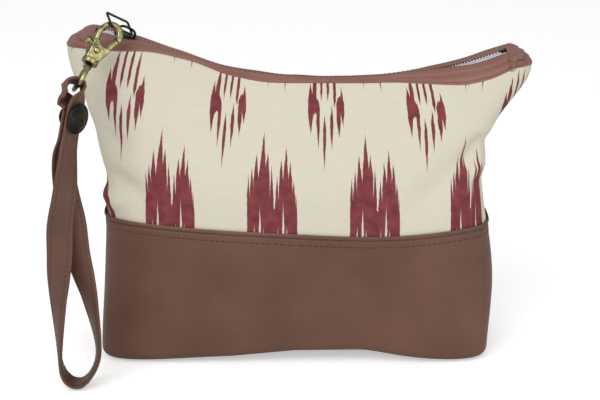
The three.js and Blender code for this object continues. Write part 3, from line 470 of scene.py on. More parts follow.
def rounded(width: float, height: float, radius: float, steps: int) -> list[Pair]:
    """Corners of a rounded rectangle about the origin.

    Args:
        width: Size across.
        height: Size up.
        radius: Radius of the corners.
        steps: Steps in each corner.

    Returns:
        The corners in order.
    """
    corners = []
    for quarter, (sx, sy) in enumerate(((1, 1), (-1, 1), (-1, -1), (1, -1))):
        for k in range(steps + 1):
            angle = (quarter + k / steps) * math.pi / 2
            corners.append((
                sx * (width / 2 - radius) + radius * math.cos(angle),
                sy * (height / 2 - radius) + radius * math.sin(angle),
            ))
    return corners


def path_frames(
    points: Sequence[Vector], across: Sequence[Vector] | Vector, closed: bool = False,
) -> list[Matrix]:
    """Frames along a path, with X near a given line and Z along the path.

    Args:
        points: The path.
        across: The line for X, one for all points or one each.
        closed: Whether the path runs round to its start.

    Returns:
        One frame for each point.
    """
    frames = []
    last = len(points) - 1
    for i, point in enumerate(points):
        before = points[i - 1] if closed or i else point
        after = points[(i + 1) % (last + 1)] if closed or i < last else point
        along = (after - before).normalized()
        line = across if isinstance(across, Vector) else across[i]
        wide = (line - along * line.dot(along)).normalized()
        deep = along.cross(wide)
        frames.append(frame_at(point, wide, deep, along))
    return frames


def frame_at(origin: Vector, x: Vector, y: Vector, z: Vector) -> Matrix:
    """The frame with a given origin and axes."""
    return Matrix.Translation(origin) @ Matrix((x, y, z)).transposed().to_4x4()


def bent(points: Sequence[Vector], per_span: int, closed: bool = False) -> list[Vector]:
    """Points on a smooth curve through given points.

    Args:
        points: The points to pass through.
        per_span: New points for each span.
        closed: Whether the curve runs round to its start.

    Returns:
        The finer path.
    """
    count = len(points)
    fine = []
    for i in range(count if closed else count - 1):
        p1, p2 = points[i], points[(i + 1) % count]
        p0 = points[i - 1] if closed or i else p1 * 2 - p2
        p3 = points[(i + 2) % count] if closed or i + 2 < count else p2 * 2 - p1
        for k in range(per_span):
            t = k / per_span
            fine.append(0.5 * (
                2 * p1 + (p2 - p0) * t + (2 * p0 - 5 * p1 + 4 * p2 - p3) * t * t
                + (3 * p1 - p0 - 3 * p2 + p3) * t**3
            ))
    if not closed:
        fine.append(points[-1].copy())
    return fine


def turned(profile: Sequence[Pair], sides: int, axes: Matrix) -> Mesh:
    """A turned piece from (radius, height) pairs about the Z axis of a frame.

    Args:
        profile: Pairs that start and end on the axis.
        sides: Steps of the turn.
        axes: The frame.

    Returns:
        The solid.
    """
    bm = bmesh.new()
    verts = [bm.verts.new((r, 0.0, z)) for r, z in profile]
    edges = [bm.edges.new(pair) for pair in zip(verts, verts[1:])]
    bmesh.ops.spin(
        bm, geom=verts + edges, cent=(0, 0, 0), axis=(0, 0, 1),
        angle=2 * math.pi, steps=sides, use_merge=True,
    )
    bmesh.ops.remove_doubles(bm, verts=bm.verts, dist=1e-6)
    bmesh.ops.recalc_face_normals(bm, faces=bm.faces)
    bmesh.ops.transform(bm, matrix=axes, verts=bm.verts)
    return bm


def slab(outline: Sequence[Pair], thickness: float, ease: float, axes: Matrix) -> Mesh:
    """A flat outline given a thickness and eased edges.

    Args:
        outline: Corners in the frame's XZ plane.
        thickness: Size across the frame's Y axis.
        ease: Radius of the eased edges.
        axes: The frame.

    Returns:
        The solid.
    """
    bm = bmesh.new()
    face = bm.faces.new([bm.verts.new((x, -thickness / 2, z)) for x, z in outline])
    made = bmesh.ops.extrude_face_region(bm, geom=[face])
    bmesh.ops.translate(bm, verts=new_parts(made, bmesh.types.BMVert), vec=(0, thickness, 0))
    bmesh.ops.recalc_face_normals(bm, faces=bm.faces)
    corner = math.radians(50)
    sharp = [e for e in bm.edges if len(e.link_faces) == 2 and e.calc_face_angle() > corner]
    bmesh.ops.bevel(
        bm, geom=sharp, offset=ease, offset_type="OFFSET", segments=3, profile=0.5,
        affect="EDGES", material=-1,
    )
    bmesh.ops.transform(bm, matrix=axes, verts=bm.verts)
    return bm


def joined(parts: Iterable[Mesh]) -> Mesh:
    """Several meshes as one.

    Args:
        parts: The meshes, which are used up.

    Returns:
        The mesh.
    """
    whole = bmesh.new()
    for part in parts:
        mesh = bpy.data.meshes.new("part")
        part.to_mesh(mesh)
        part.free()
        whole.from_mesh(mesh)
        bpy.data.meshes.remove(mesh)
    return whole


def stitches(points: Sequence[Vector], outs: Sequence[Vector], length: float, width: float) -> Mesh:
    """A row of thread stitches along a path on a surface.

    Args:
        points: Path with one point for each stitch and one more at the end.
        outs: The surface's outward line at each point.
        length: Share of each step that the thread shows.
        width: Thread diameter.

    Returns:
        The stitches.
    """
    bm = bmesh.new()
    for here, there, out in zip(points, points[1:], outs):
        run = (there - here) * length
        along = run.normalized()
        side = out.cross(along).normalized()
        axes = frame_at((here + there) / 2, along, side, along.cross(side))
        size = Matrix.Diagonal((run.length / 2, width / 2, width * 0.4, 1.0))
        bmesh.ops.create_icosphere(bm, subdivisions=1, radius=1.0, matrix=axes @ size)
    return bm


def piece(
    name: str, bm: Mesh, finish: Material, body: str, slot: Slot,
    nodes: Sequence[str] = (), sharp_degrees: float = 180.0,
) -> bpy.types.Object:
    """Makes a finished piece from a mesh.

    Args:
        name: The piece's name.
        bm: Its mesh, which is used up.
        finish: Its material.
        body: The body that carries it.
        slot: The record's slot for its finish; not used.
        nodes: The solids that it stands for.
        sharp_degrees: Edges turned more than this stay sharp.

    Returns:
        The object.
    """
    mesh = bpy.data.meshes.new(name)
    bm.to_mesh(mesh)
    bm.free()
    mesh.shade_smooth()
    if sharp_degrees < 180.0:
        mesh.set_sharp_from_angle(angle=math.radians(sharp_degrees))
    mesh.materials.append(finish)
    obj = bpy.data.objects.new(name, mesh)
    bpy.context.scene.collection.objects.link(obj)
    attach(obj, body)
    if nodes:
        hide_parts(*nodes)
    log.info("%s: %d faces on %s", name, len(mesh.polygons), body)
    return obj


def thicken(obj: bpy.types.Object, thickness: float) -> None:
    """Gives a sheet its thickness, inwards from its face.

    Args:
        obj: The piece.
        thickness: The sheet's thickness.
    """
    modifier = obj.modifiers.new("thickness", "SOLIDIFY")
    modifier.thickness = thickness
    modifier.offset = -1.0
    modifier.use_even_offset = False


class Graph:
    """A node tree while it is wired."""

    def __init__(self, tree: Tree) -> None:
        """Starts on a tree.

        Args:
            tree: A material's or a group's node tree.
        """
        self.tree = tree

    def node(self, kind: str, **settings: object) -> bpy.types.Node:
        """Adds a node and sets its properties.

        Args:
            kind: The node's type.
            **settings: Values by name.

        Returns:
            The node.
        """
        made = self.tree.nodes.new(kind)
        for name, value in settings.items():
            setattr(made, name, value)
        return made

    def feed(self, socket: Socket, value: object) -> None:
        """Gives a socket a link or a fixed value.

        Args:
            socket: The socket.
            value: A socket to link or a value.
        """
        if isinstance(value, Socket):
            self.tree.links.new(value, socket)
        else:
            socket.default_value = value

    def math(self, operation: str, a: Value, b: Value = 0.0, c: Value = 0.0) -> Socket:
        """The result of a sum.

        Args:
            operation: The kind of sum.
            a: First term.
            b: Second term.
            c: Third term.

        Returns:
            The result.
        """
        made = self.node("ShaderNodeMath", operation=operation)
        for socket, value in zip(made.inputs, (a, b, c)):
            self.feed(socket, value)
        return made.outputs[0]

    def clamp(self, value: Value) -> Socket:
        """A value held between 0 and 1."""
        made = self.node("ShaderNodeClamp")
        self.feed(made.inputs[0], value)
        return made.outputs[0]

    def blend(self, share: Value, a: object, b: object) -> Socket:
        """A colour between two others.

        Args:
            share: Share of the second colour.
            a: First colour.
            b: Second colour.

        Returns:
            The result.
        """
        made = self.node("ShaderNodeMix", data_type="RGBA")
        self.feed(made.inputs["Factor"], share)
        for name, value in (("A", a), ("B", b)):
            socket = next(s for s in made.inputs if s.name == name and s.type == "RGBA")
            self.feed(socket, (*value, 1.0) if isinstance(value, tuple) else value)
        return next(s for s in made.outputs if s.type == "RGBA")

    def span(self, value: Value, low: float, high: float, start: float, end: float) -> Socket:
        """A value moved from one range to another and held inside it.

        Args:
            value: The value.
            low: Start of the old range.
            high: End of the old range.
            start: Start of the new range.
            end: End of the new range.

        Returns:
            The result.
        """
        made = self.node("ShaderNodeMapRange")
        for socket, given in zip(made.inputs, (value, low, high, start, end)):
            self.feed(socket, given)
        return made.outputs[0]

    def noise(self, vector: Socket, scale: float, detail: float = 3.0) -> Socket:
        """Cloudy noise from 0 to 1.

        Args:
            vector: The place.
            scale: How fast it changes.
            detail: Layers of finer noise.

        Returns:
            The result.
        """
        made = self.node("ShaderNodeTexNoise")
        self.feed(made.inputs["Vector"], vector)
        self.feed(made.inputs["Scale"], scale)
        self.feed(made.inputs["Detail"], detail)
        return made.outputs["Fac"]

    def stretched(self, vector: Socket, scale: tuple[float, float, float]) -> Socket:
        """A place scaled apart along its axes.

        Args:
            vector: The place.
            scale: Scale along each axis.

        Returns:
            The result.
        """
        made = self.node("ShaderNodeMapping")
        self.feed(made.inputs["Vector"], vector)
        self.feed(made.inputs["Scale"], scale)
        return made.outputs[0]

    def bump(self, shader: bpy.types.Node, height: Value, strength: float, depth: float) -> None:
        """Gives a shader a bumped surface.

        Args:
            shader: The material's shader.
            height: The relief's height.
            strength: Share of the relief that shows.
            depth: Height of the relief.
        """
        made = self.node("ShaderNodeBump")
        self.feed(made.inputs["Strength"], strength)
        self.feed(made.inputs["Distance"], depth)
        self.feed(made.inputs["Height"], height)
        self.feed(shader.inputs["Normal"], made.outputs[0])

    def group(self, tree: Tree, **inputs: object) -> bpy.types.Node:
        """Places a group and feeds its inputs, whose names have spaces for underscores.

        Args:
            tree: The group's tree.
            **inputs: Values by name.

        Returns:
            The node.
        """
        made = self.node("ShaderNodeGroup", node_tree=tree)
        for name, value in inputs.items():
            self.feed(made.inputs[name.replace("_", " ")], value)
        return made


def new_group(name: str, inputs: dict[str, str], outputs: Sequence[str]) -> tuple[Graph, dict, dict]:
    """Starts a shader node group.

    Args:
        name: The group's name.
        inputs: Socket types by name, such as Float or Vector.
        outputs: Names of its float outputs.

    Returns:
        The graph, the input sockets by name and the output sockets by name.
    """
    tree = bpy.data.node_groups.new(name, "ShaderNodeTree")
    for label, kind in inputs.items():
        tree.interface.new_socket(label, in_out="INPUT", socket_type=f"NodeSocket{kind}")
    for label in outputs:
        tree.interface.new_socket(label, in_out="OUTPUT", socket_type="NodeSocketFloat")
    graph = Graph(tree)
    entry, end = graph.node("NodeGroupInput"), graph.node("NodeGroupOutput")
    return graph, {s.name: s for s in entry.outputs}, {s.name: s for s in end.inputs}


def grain_group() -> Tree:
    """Leather grain: pebbles in the surface, wear in its gloss and slow changes of tone.

    Returns:
        The group.
    """
    inputs = {"Vector": "Vector", "Size": "Float"}
    graph, given, out = new_group("grain", inputs, ("Height", "Tone", "Wear"))
    pebbles = graph.node("ShaderNodeTexVoronoi", feature="SMOOTH_F1")
    graph.feed(pebbles.inputs["Vector"], given["Vector"])
    graph.feed(pebbles.inputs["Scale"], graph.math("DIVIDE", 1.0, given["Size"]))
    fine = graph.noise(given["Vector"], 2600.0, 2.0)
    graph.feed(out["Height"], graph.math("MULTIPLY_ADD", fine, 0.35, pebbles.outputs["Distance"]))
    graph.feed(out["Tone"], graph.noise(given["Vector"], 22.0, 4.0))
    graph.feed(out["Wear"], graph.noise(given["Vector"], 95.0, 3.0))
    return graph.tree


def weave_group() -> Tree:
    """Plain weave: crossing threads, with the uneven yarn that shows as short streaks.

    Returns:
        The group.
    """
    inputs = {"Vector": "Vector", "Pitch": "Float"}
    graph, given, out = new_group("weave", inputs, ("Height", "Streaks"))
    axes = graph.node("ShaderNodeSeparateXYZ")
    graph.feed(axes.inputs[0], given["Vector"])
    turn = graph.math("DIVIDE", math.pi, given["Pitch"])
    across = graph.math("SINE", graph.math("MULTIPLY", axes.outputs[0], turn))
    up = graph.math("SINE", graph.math("MULTIPLY", axes.outputs[1], turn))
    graph.feed(out["Height"], graph.math("ABSOLUTE", graph.math("MULTIPLY", across, up)))
    weft = graph.noise(graph.stretched(given["Vector"], (55.0, 1500.0, 1.0)), 1.0, 3.0)
    warp = graph.noise(graph.stretched(given["Vector"], (1300.0, 70.0, 1.0)), 1.0, 2.0)
    yarn = graph.math("ADD", graph.math("MULTIPLY", weft, 0.7), graph.math("MULTIPLY", warp, 0.3))
    graph.feed(out["Streaks"], yarn)
    return graph.tree


def patina_group() -> Tree:
    """Old metal: dark patches, rubbed spots and fine scratches.

    Returns:
        The group.
    """
    graph, given, out = new_group("patina", {"Vector": "Vector"}, ("Dark", "Dull", "Height"))
    cloud = graph.noise(given["Vector"], 260.0, 5.0)
    specks = graph.noise(given["Vector"], 1500.0, 3.0)
    spotted = graph.math("MULTIPLY_ADD", specks, 0.3, cloud)
    graph.feed(out["Dark"], graph.span(spotted, 0.5, 0.9, 0.0, 1.0))
    graph.feed(out["Dull"], graph.noise(given["Vector"], 700.0, 4.0))
    scratched = graph.stretched(given["Vector"], (900.0, 900.0, 4200.0))
    graph.feed(out["Height"], graph.noise(scratched, 1.0, 3.0))
    return graph.tree


@dataclass(frozen=True)
class Stroke:
    """One dyed streak of the print: a line pointed at both ends.

    Sizes are millimetres on the flat cloth, across from the motif's middle and up from the hem.
    """

    centre: float
    low: float
    high: float
    half_width: float
    low_taper: float = 12.0
    high_taper: float = 12.0
    lean: float = 0.0


@dataclass(frozen=True)
class IkatPrint:
    """The print: feathered rings in an upper row and toothed blocks in a lower row."""

    repeat: float = 0.062
    ring_shift: float = 0.0165
    block_shift: float = -0.0155
    ragged: float = 0.0004
    ring: tuple[Stroke, ...] = (
        Stroke(-8.4, 62.0, 99.0, 1.7, 14, 12, -0.02), Stroke(-6.9, 74.5, 111.0, 1.4, 7, 14, 0.02),
        Stroke(-6.6, 76.0, 93.0, 2.7, 6, 8), Stroke(-5.4, 76.0, 89.0, 1.9, 5, 6),
        Stroke(-3.8, 52.0, 88.0, 1.15, 18, 6, -0.01), Stroke(-2.2, 84.0, 118.0, 0.85, 8, 12),
        Stroke(1.9, 84.4, 118.0, 0.9, 8, 12), Stroke(0.0, 37.6, 77.5, 1.05, 20, 10),
        Stroke(4.5, 51.8, 84.5, 1.2, 16, 12), Stroke(6.3, 80.6, 114.0, 1.0, 6, 14, -0.01),
        Stroke(9.2, 60.0, 90.0, 1.45, 12, 5, -0.02), Stroke(9.6, 77.5, 90.0, 2.4, 5, 5),
        Stroke(11.8, 68.0, 97.0, 1.4, 10, 12, -0.05),
    )
    block: tuple[Stroke, ...] = (
        Stroke(-13.7, -9.0, 38.0, 1.0, 2, 14), Stroke(-11.6, -9.0, 42.0, 1.3, 2, 14),
        Stroke(-9.0, -9.0, 52.0, 1.7, 2, 18), Stroke(-5.0, -9.0, 66.0, 2.9, 2, 36),
        Stroke(-2.2, -9.0, 52.5, 1.6, 2, 16), Stroke(0.4, -9.0, 44.0, 1.3, 2, 20),
        Stroke(3.6, -9.0, 37.5, 1.3, 2, 18), Stroke(6.1, -9.0, 48.0, 1.6, 2, 18),
        Stroke(8.9, -9.0, 56.5, 2.4, 2, 30), Stroke(11.5, -9.0, 47.0, 1.4, 2, 16),
        Stroke(13.5, -9.0, 35.0, 1.2, 2, 12), Stroke(15.0, -9.0, 28.0, 0.8, 2, 16),
        Stroke(-6.2, -9.0, 30.0, 7.9, 2, 8), Stroke(8.6, -9.0, 28.0, 6.2, 2, 8),
        Stroke(0.5, -9.0, 17.0, 14.6, 2, 3),
    )
    slits: tuple[Stroke, ...] = (
        Stroke(-6.9, -9.0, 19.5, 1.0, 2, 20), Stroke(7.3, -9.0, 22.5, 0.85, 2, 22),
        Stroke(-10.2, -9.0, 7.5, 0.55, 2, 8), Stroke(-4.8, -9.0, 5.5, 0.5, 2, 6),
        Stroke(4.1, -9.0, 6.6, 0.5, 2, 8), Stroke(9.4, -9.0, 6.0, 0.5, 2, 6),
        Stroke(2.0, 13.6, 60.0, 1.0, 20, 6),
    )
    ticks: tuple[Stroke, ...] = (
        Stroke(-4.5, -9.0, 5.5, 0.55, 2, 6), Stroke(-2.6, -9.0, 3.6, 0.45, 2, 5),
        Stroke(6.5, -9.0, 7.5, 0.65, 2, 8),
    )


def stroke_group() -> Tree:
    """One streak as a mask.

    Returns:
        The group.
    """
    names = ("Across", "Up", "Centre", "Lean", "Low", "High", "Half Width", "Low Taper", "High Taper")
    graph, given, out = new_group("streak", dict.fromkeys(names, "Float"), ("Mask",))
    climbed = graph.math("SUBTRACT", given["Up"], given["Low"])
    left = graph.math("SUBTRACT", given["High"], given["Up"])
    middle = graph.math("MULTIPLY_ADD", climbed, given["Lean"], given["Centre"])
    off = graph.math("ABSOLUTE", graph.math("SUBTRACT", given["Across"], middle))
    rise = graph.clamp(graph.math("DIVIDE", climbed, given["Low Taper"]))
    fall = graph.clamp(graph.math("DIVIDE", left, given["High Taper"]))
    half = graph.math("MULTIPLY", given["Half Width"], graph.math("MINIMUM", rise, fall))
    inside = graph.math("SUBTRACT", graph.math("SUBTRACT", half, off), 0.12)
    graph.feed(out["Mask"], graph.clamp(graph.math("MULTIPLY_ADD", inside, 4.0, 0.5)))
    return graph.tree


def print_group(pattern: IkatPrint) -> Tree:
    """The whole print as a mask on the flat cloth.

    Args:
        pattern: The motifs and how they repeat.

    Returns:
        The group.
    """
    graph, given, out = new_group("ikat", {"Vector": "Vector", "Below Seam": "Float"}, ("Mask",))
    streak = stroke_group()
    axes = graph.node("ShaderNodeSeparateXYZ")
    graph.feed(axes.inputs[0], given["Vector"])
    wander = graph.noise(graph.stretched(given["Vector"], (500.0, 260.0, 1.0)), 1.0, 3.0)
    feather = graph.noise(graph.stretched(given["Vector"], (3000.0, 140.0, 1.0)), 1.0, 2.0)
    ragged = graph.math("MULTIPLY", graph.math("SUBTRACT", wander, 0.5), pattern.ragged * 2)
    across = graph.math("ADD", axes.outputs[0], ragged)
    up = graph.math("MULTIPLY", axes.outputs[1], 1000.0)
    up = graph.math("MULTIPLY_ADD", graph.math("SUBTRACT", feather, 0.5), 3.0, up)
    half = pattern.repeat / 2

    def row(strokes: Sequence[Stroke], shift: float, height: Socket) -> Socket:
        """Draws one row of repeated motifs.

        Args:
            strokes: The motif's streaks.
            shift: Place of the first motif.
            height: Height on the cloth in millimetres.

        Returns:
            The result.
        """
        local = graph.math("WRAP", graph.math("SUBTRACT", across, shift), half, -half)
        local = graph.math("MULTIPLY", local, 1000.0)
        total = None
        for one in strokes:
            mark = graph.group(
                streak, Across=local, Up=height, Centre=one.centre, Lean=one.lean,
                Low=one.low, High=one.high, Half_Width=one.half_width,
                Low_Taper=one.low_taper, High_Taper=one.high_taper,
            ).outputs[0]
            total = mark if total is None else graph.math("MAXIMUM", total, mark)
        return total

    rings = row(pattern.ring, pattern.ring_shift, up)
    blocks = row(pattern.block, pattern.block_shift, up)
    slits = row(pattern.slits, pattern.block_shift, up)
    below = graph.math("MULTIPLY", given["Below Seam"], 1000.0)
    ticks = row(pattern.ticks, pattern.block_shift, below)
    blocks = graph.math("MULTIPLY", blocks, graph.math("SUBTRACT", 1.0, slits))
    total = graph.math("MAXIMUM", rings, graph.math("MAXIMUM", blocks, ticks))
    graph.feed(out["Mask"], total)
    return graph.tree


@dataclass(frozen=True)
class Groups:
    """The shader node groups that the finishes share."""

    grain: Tree = field(default_factory=grain_group)
    weave: Tree = field(default_factory=weave_group)
    patina: Tree = field(default_factory=patina_group)


def new_material(name: str) -> tuple[Graph, bpy.types.Node, Material]:
    """Starts a material with its shader and output.

    Args:
        name: The material's name.

    Returns:
        The graph, the shader and the material.
    """
    material = bpy.data.materials.new(name)
    material.use_nodes = True
    material.node_tree.nodes.clear()
    graph = Graph(material.node_tree)
    shader = graph.node("ShaderNodeBsdfPrincipled")
    graph.feed(graph.node("ShaderNodeOutputMaterial").inputs[0], shader.outputs[0])
    return graph, shader, material


@dataclass(frozen=True)
class Leather:
    """Smooth leather-look cover with a fine grain and a soft gloss."""

    name: str
    light: Colour
    dark: Colour
    roughness: float
    pebble: float = 0.0011
    sheen: float = 0.4
    relief: Pair = (0.22, 0.0003)

    def make(self, groups: Groups) -> Material:
        """The material.

        Args:
            groups: The shared groups.

        Returns:
            The material.
        """
        graph, shader, material = new_material(self.name)
        place = graph.node("ShaderNodeTexCoord").outputs["Object"]
        grain = graph.group(groups.grain, Vector=place, Size=self.pebble)
        tone = graph.span(grain.outputs["Tone"], 0.3, 0.75, 0.0, 1.0)
        graph.feed(shader.inputs["Base Color"], graph.blend(tone, self.dark, self.light))
        worn = graph.span(grain.outputs["Wear"], 0.3, 0.7, self.roughness - 0.05, self.roughness + 0.07)
        graph.feed(shader.inputs["Roughness"], worn)
        graph.feed(shader.inputs["Specular IOR Level"], self.sheen)
        graph.bump(shader, grain.outputs["Height"], *self.relief)
        return material


@dataclass(frozen=True)
class PrintedCotton:
    """Cream cotton with the dyed print."""

    pattern: IkatPrint
    cream_dark: Colour = (0.685, 0.64, 0.52)
    cream_light: Colour = (0.725, 0.68, 0.555)
    wine_dark: Colour = (0.165, 0.036, 0.041)
    wine_light: Colour = (0.26, 0.062, 0.07)
    pitch: float = 0.0005
    roughness: float = 0.92
    sheen: float = 0.15
    relief: Pair = (0.18, 0.0001)

    def make(self, groups: Groups) -> Material:
        """The material.

        Args:
            groups: The shared groups.

        Returns:
            The material.
        """
        graph, shader, material = new_material("printed_cloth")
        flat = graph.node("ShaderNodeUVMap", uv_map="print").outputs[0]
        seam = graph.node("ShaderNodeAttribute", attribute_name="below_seam").outputs["Fac"]
        weave = graph.group(groups.weave, Vector=flat, Pitch=self.pitch)
        mask = graph.group(print_group(self.pattern), Vector=flat, Below_Seam=seam).outputs[0]
        streaks = graph.span(weave.outputs["Streaks"], 0.35, 0.65, 0.0, 1.0)
        cream = graph.blend(streaks, self.cream_dark, self.cream_light)
        cloud = graph.span(graph.noise(flat, 160.0, 4.0), 0.3, 0.7, 0.0, 1.0)
        wine = graph.blend(cloud, self.wine_dark, self.wine_light)
        graph.feed(shader.inputs["Base Color"], graph.blend(mask, cream, wine))
        graph.feed(shader.inputs["Roughness"], self.roughness)
        graph.feed(shader.inputs["Specular IOR Level"], self.sheen)
        graph.bump(shader, weave.outputs["Height"], *self.relief)
        return material


@dataclass(frozen=True)
class Woven:
    """Plain woven cloth, tape or thread."""

    name: str
    light: Colour
    dark: Colour
    pitch: float
    roughness: float = 0.85
    relief: Pair = (0.3, 0.0002)

    def make(self, groups: Groups) -> Material:
        """The material.

        Args:
            groups: The shared groups.

        Returns:
            The material.
        """
        graph, shader, material = new_material(self.name)
        place = graph.node("ShaderNodeTexCoord").outputs["Object"]
        weave = graph.group(groups.weave, Vector=place, Pitch=self.pitch)
        streaks = graph.span(weave.outputs["Streaks"], 0.35, 0.65, 0.0, 1.0)
        graph.feed(shader.inputs["Base Color"], graph.blend(streaks, self.dark, self.light))
        graph.feed(shader.inputs["Roughness"], self.roughness)
        graph.bump(shader, weave.outputs["Height"], *self.relief)
        return material


@dataclass(frozen=True)
class Nylon:
    """White moulded teeth and stops of the zip."""

    light: Colour = (0.80, 0.82, 0.86)
    dark: Colour = (0.68, 0.70, 0.75)
    roughness: float = 0.4

    def make(self) -> Material:
        """The material.

        Returns:
            The material.
        """
        graph, shader, material = new_material("zip_nylon")
        place = graph.node("ShaderNodeTexCoord").outputs["Object"]
        cloud = graph.noise(place, 300.0, 3.0)
        graph.feed(shader.inputs["Base Color"], graph.blend(cloud, self.dark, self.light))
        graph.feed(shader.inputs["Roughness"], self.roughness)
        return material


@dataclass(frozen=True)
class Metal:
    """Cast and plated metal with a patina, and painted shade where its surface turns away from the view.
    """

    name: str
    light: Colour
    dark: Colour
    roughness: float
    rim: float = 0.42
    relief: Pair = (0.08, 0.0002)

    def make(self, groups: Groups) -> Material:
        """The material.

        Args:
            groups: The shared groups.

        Returns:
            The material.
        """
        graph, shader, material = new_material(self.name)
        place = graph.node("ShaderNodeTexCoord").outputs["Object"]
        patina = graph.group(groups.patina, Vector=place)
        # Painted shade: the Layer Weight facing term darkens the metal towards its dark colour where the
        # surface turns away from the view; the patina's dark patches are added to it.
        rim = graph.node("ShaderNodeLayerWeight")
        graph.feed(rim.inputs["Blend"], self.rim)
        edge = graph.span(rim.outputs["Facing"], 0.35, 0.95, 0.0, 1.0)
        tarnish_and_painted_shade = graph.clamp(graph.math("ADD", patina.outputs["Dark"], edge))
        graph.feed(shader.inputs["Base Color"], graph.blend(tarnish_and_painted_shade, self.light, self.dark))
        dull = graph.span(patina.outputs["Dull"], 0.3, 0.7, self.roughness - 0.08, self.roughness + 0.12)
        graph.feed(shader.inputs["Roughness"], dull)
        graph.feed(shader.inputs["Metallic"], 1.0)
        graph.bump(shader, patina.outputs["Height"], *self.relief)
        return material


class Finishes:
    """All the pouch's materials, built once."""

    def __init__(self) -> None:
        """Builds the shared groups, then each material."""
        groups = Groups()
        self.leather = Leather(
            "leather", (0.170, 0.078, 0.049), (0.118, 0.053, 0.033), 0.46,
        ).make(groups)
        # Gusset leather: its own tone, made about twice as light as the walls' leather as painted light
        # for its upward face, which the light from above falls on.
        self.gusset = Leather(
            "gusset_leather", (0.33, 0.152, 0.115), (0.23, 0.104, 0.078), 0.48,
        ).make(groups)
        self.strap = Leather(
            "strap_leather", (0.165, 0.077, 0.051), (0.105, 0.048, 0.032), 0.45,
        ).make(groups)
        self.cloth = PrintedCotton(IkatPrint()).make(groups)
        self.lining = Woven("lining", (0.42, 0.36, 0.30), (0.34, 0.29, 0.24), 0.0004).make(groups)
        self.tape = Woven("zip_tape", (0.78, 0.80, 0.84), (0.66, 0.68, 0.73), 0.0007).make(groups)
        self.nylon = Nylon().make()
        self.thread = Woven("thread", (0.085, 0.045, 0.032), (0.06, 0.032, 0.024), 0.0005).make(groups)
        self.brass = Metal(
            "antique_brass", (0.55, 0.50, 0.245), (0.045, 0.034, 0.018), 0.27,
        ).make(groups)
        self.gunmetal = Metal(
            "gunmetal", (0.045, 0.042, 0.038), (0.02, 0.018, 0.016), 0.33,
        ).make(groups)


@dataclass
class ArcTable:
    """Lengths round a wall from its middle, as the cloth lies flat."""

    form: PouchForm
    side: Side
    low: float
    high: float
    rows: int = 14
    steps: int = 240

    def __post_init__(self) -> None:
        """Measures the wall at several heights."""
        heights = [mix(self.low, self.high, k / self.rows) for k in range(self.rows + 1)]
        self.table = [self._row(z) for z in heights]

    def _row(self, z: float) -> list[float]:
        """Running lengths at one height, 0 where X is 0.

        Args:
            z: Height.

        Returns:
            The lengths.
        """
        points = [self.form.wall(self.side, k / self.steps, z) for k in range(self.steps + 1)]
        lengths = [0.0]
        for a, b in zip(points, points[1:]):
            lengths.append(lengths[-1] + (b - a).length)
        middle = min(range(self.steps + 1), key=lambda k: abs(points[k].x))
        return [length - lengths[middle] + points[middle].x for length in lengths]

    def __call__(self, along: float, z: float) -> float:
        """Length from the middle at a place.

        Args:
            along: Share of the way from the left seam to the right.
            z: Height.

        Returns:
            The signed length.
        """
        row = min(max((z - self.low) / (self.high - self.low), 0.0), 0.9999) * self.rows
        column = min(max(along, 0.0), 0.9999) * self.steps
        r, c = int(row), int(column)
        upper, lower = self.table[r + 1], self.table[r]
        at_low = mix(lower[c], lower[c + 1], column - c)
        at_high = mix(upper[c], upper[c + 1], column - c)
        return mix(at_low, at_high, row - r)


def both_walls(make: Callable[[Side], Mesh]) -> Mesh:
    """Front and back sheets sewn together at the side seams.

    Args:
        make: Makes one wall's sheet.

    Returns:
        The mesh.
    """
    bm = joined(make(side) for side in Side)
    bmesh.ops.remove_doubles(bm, verts=bm.verts, dist=2e-5)
    bmesh.ops.recalc_face_normals(bm, faces=bm.faces)
    return bm


def low_boundary(bm: Mesh, height: float) -> list[bmesh.types.BMEdge]:
    """The open edges that lie wholly below a height."""
    return [e for e in bm.edges if e.is_boundary and max(v.co.z for v in e.verts) < height]


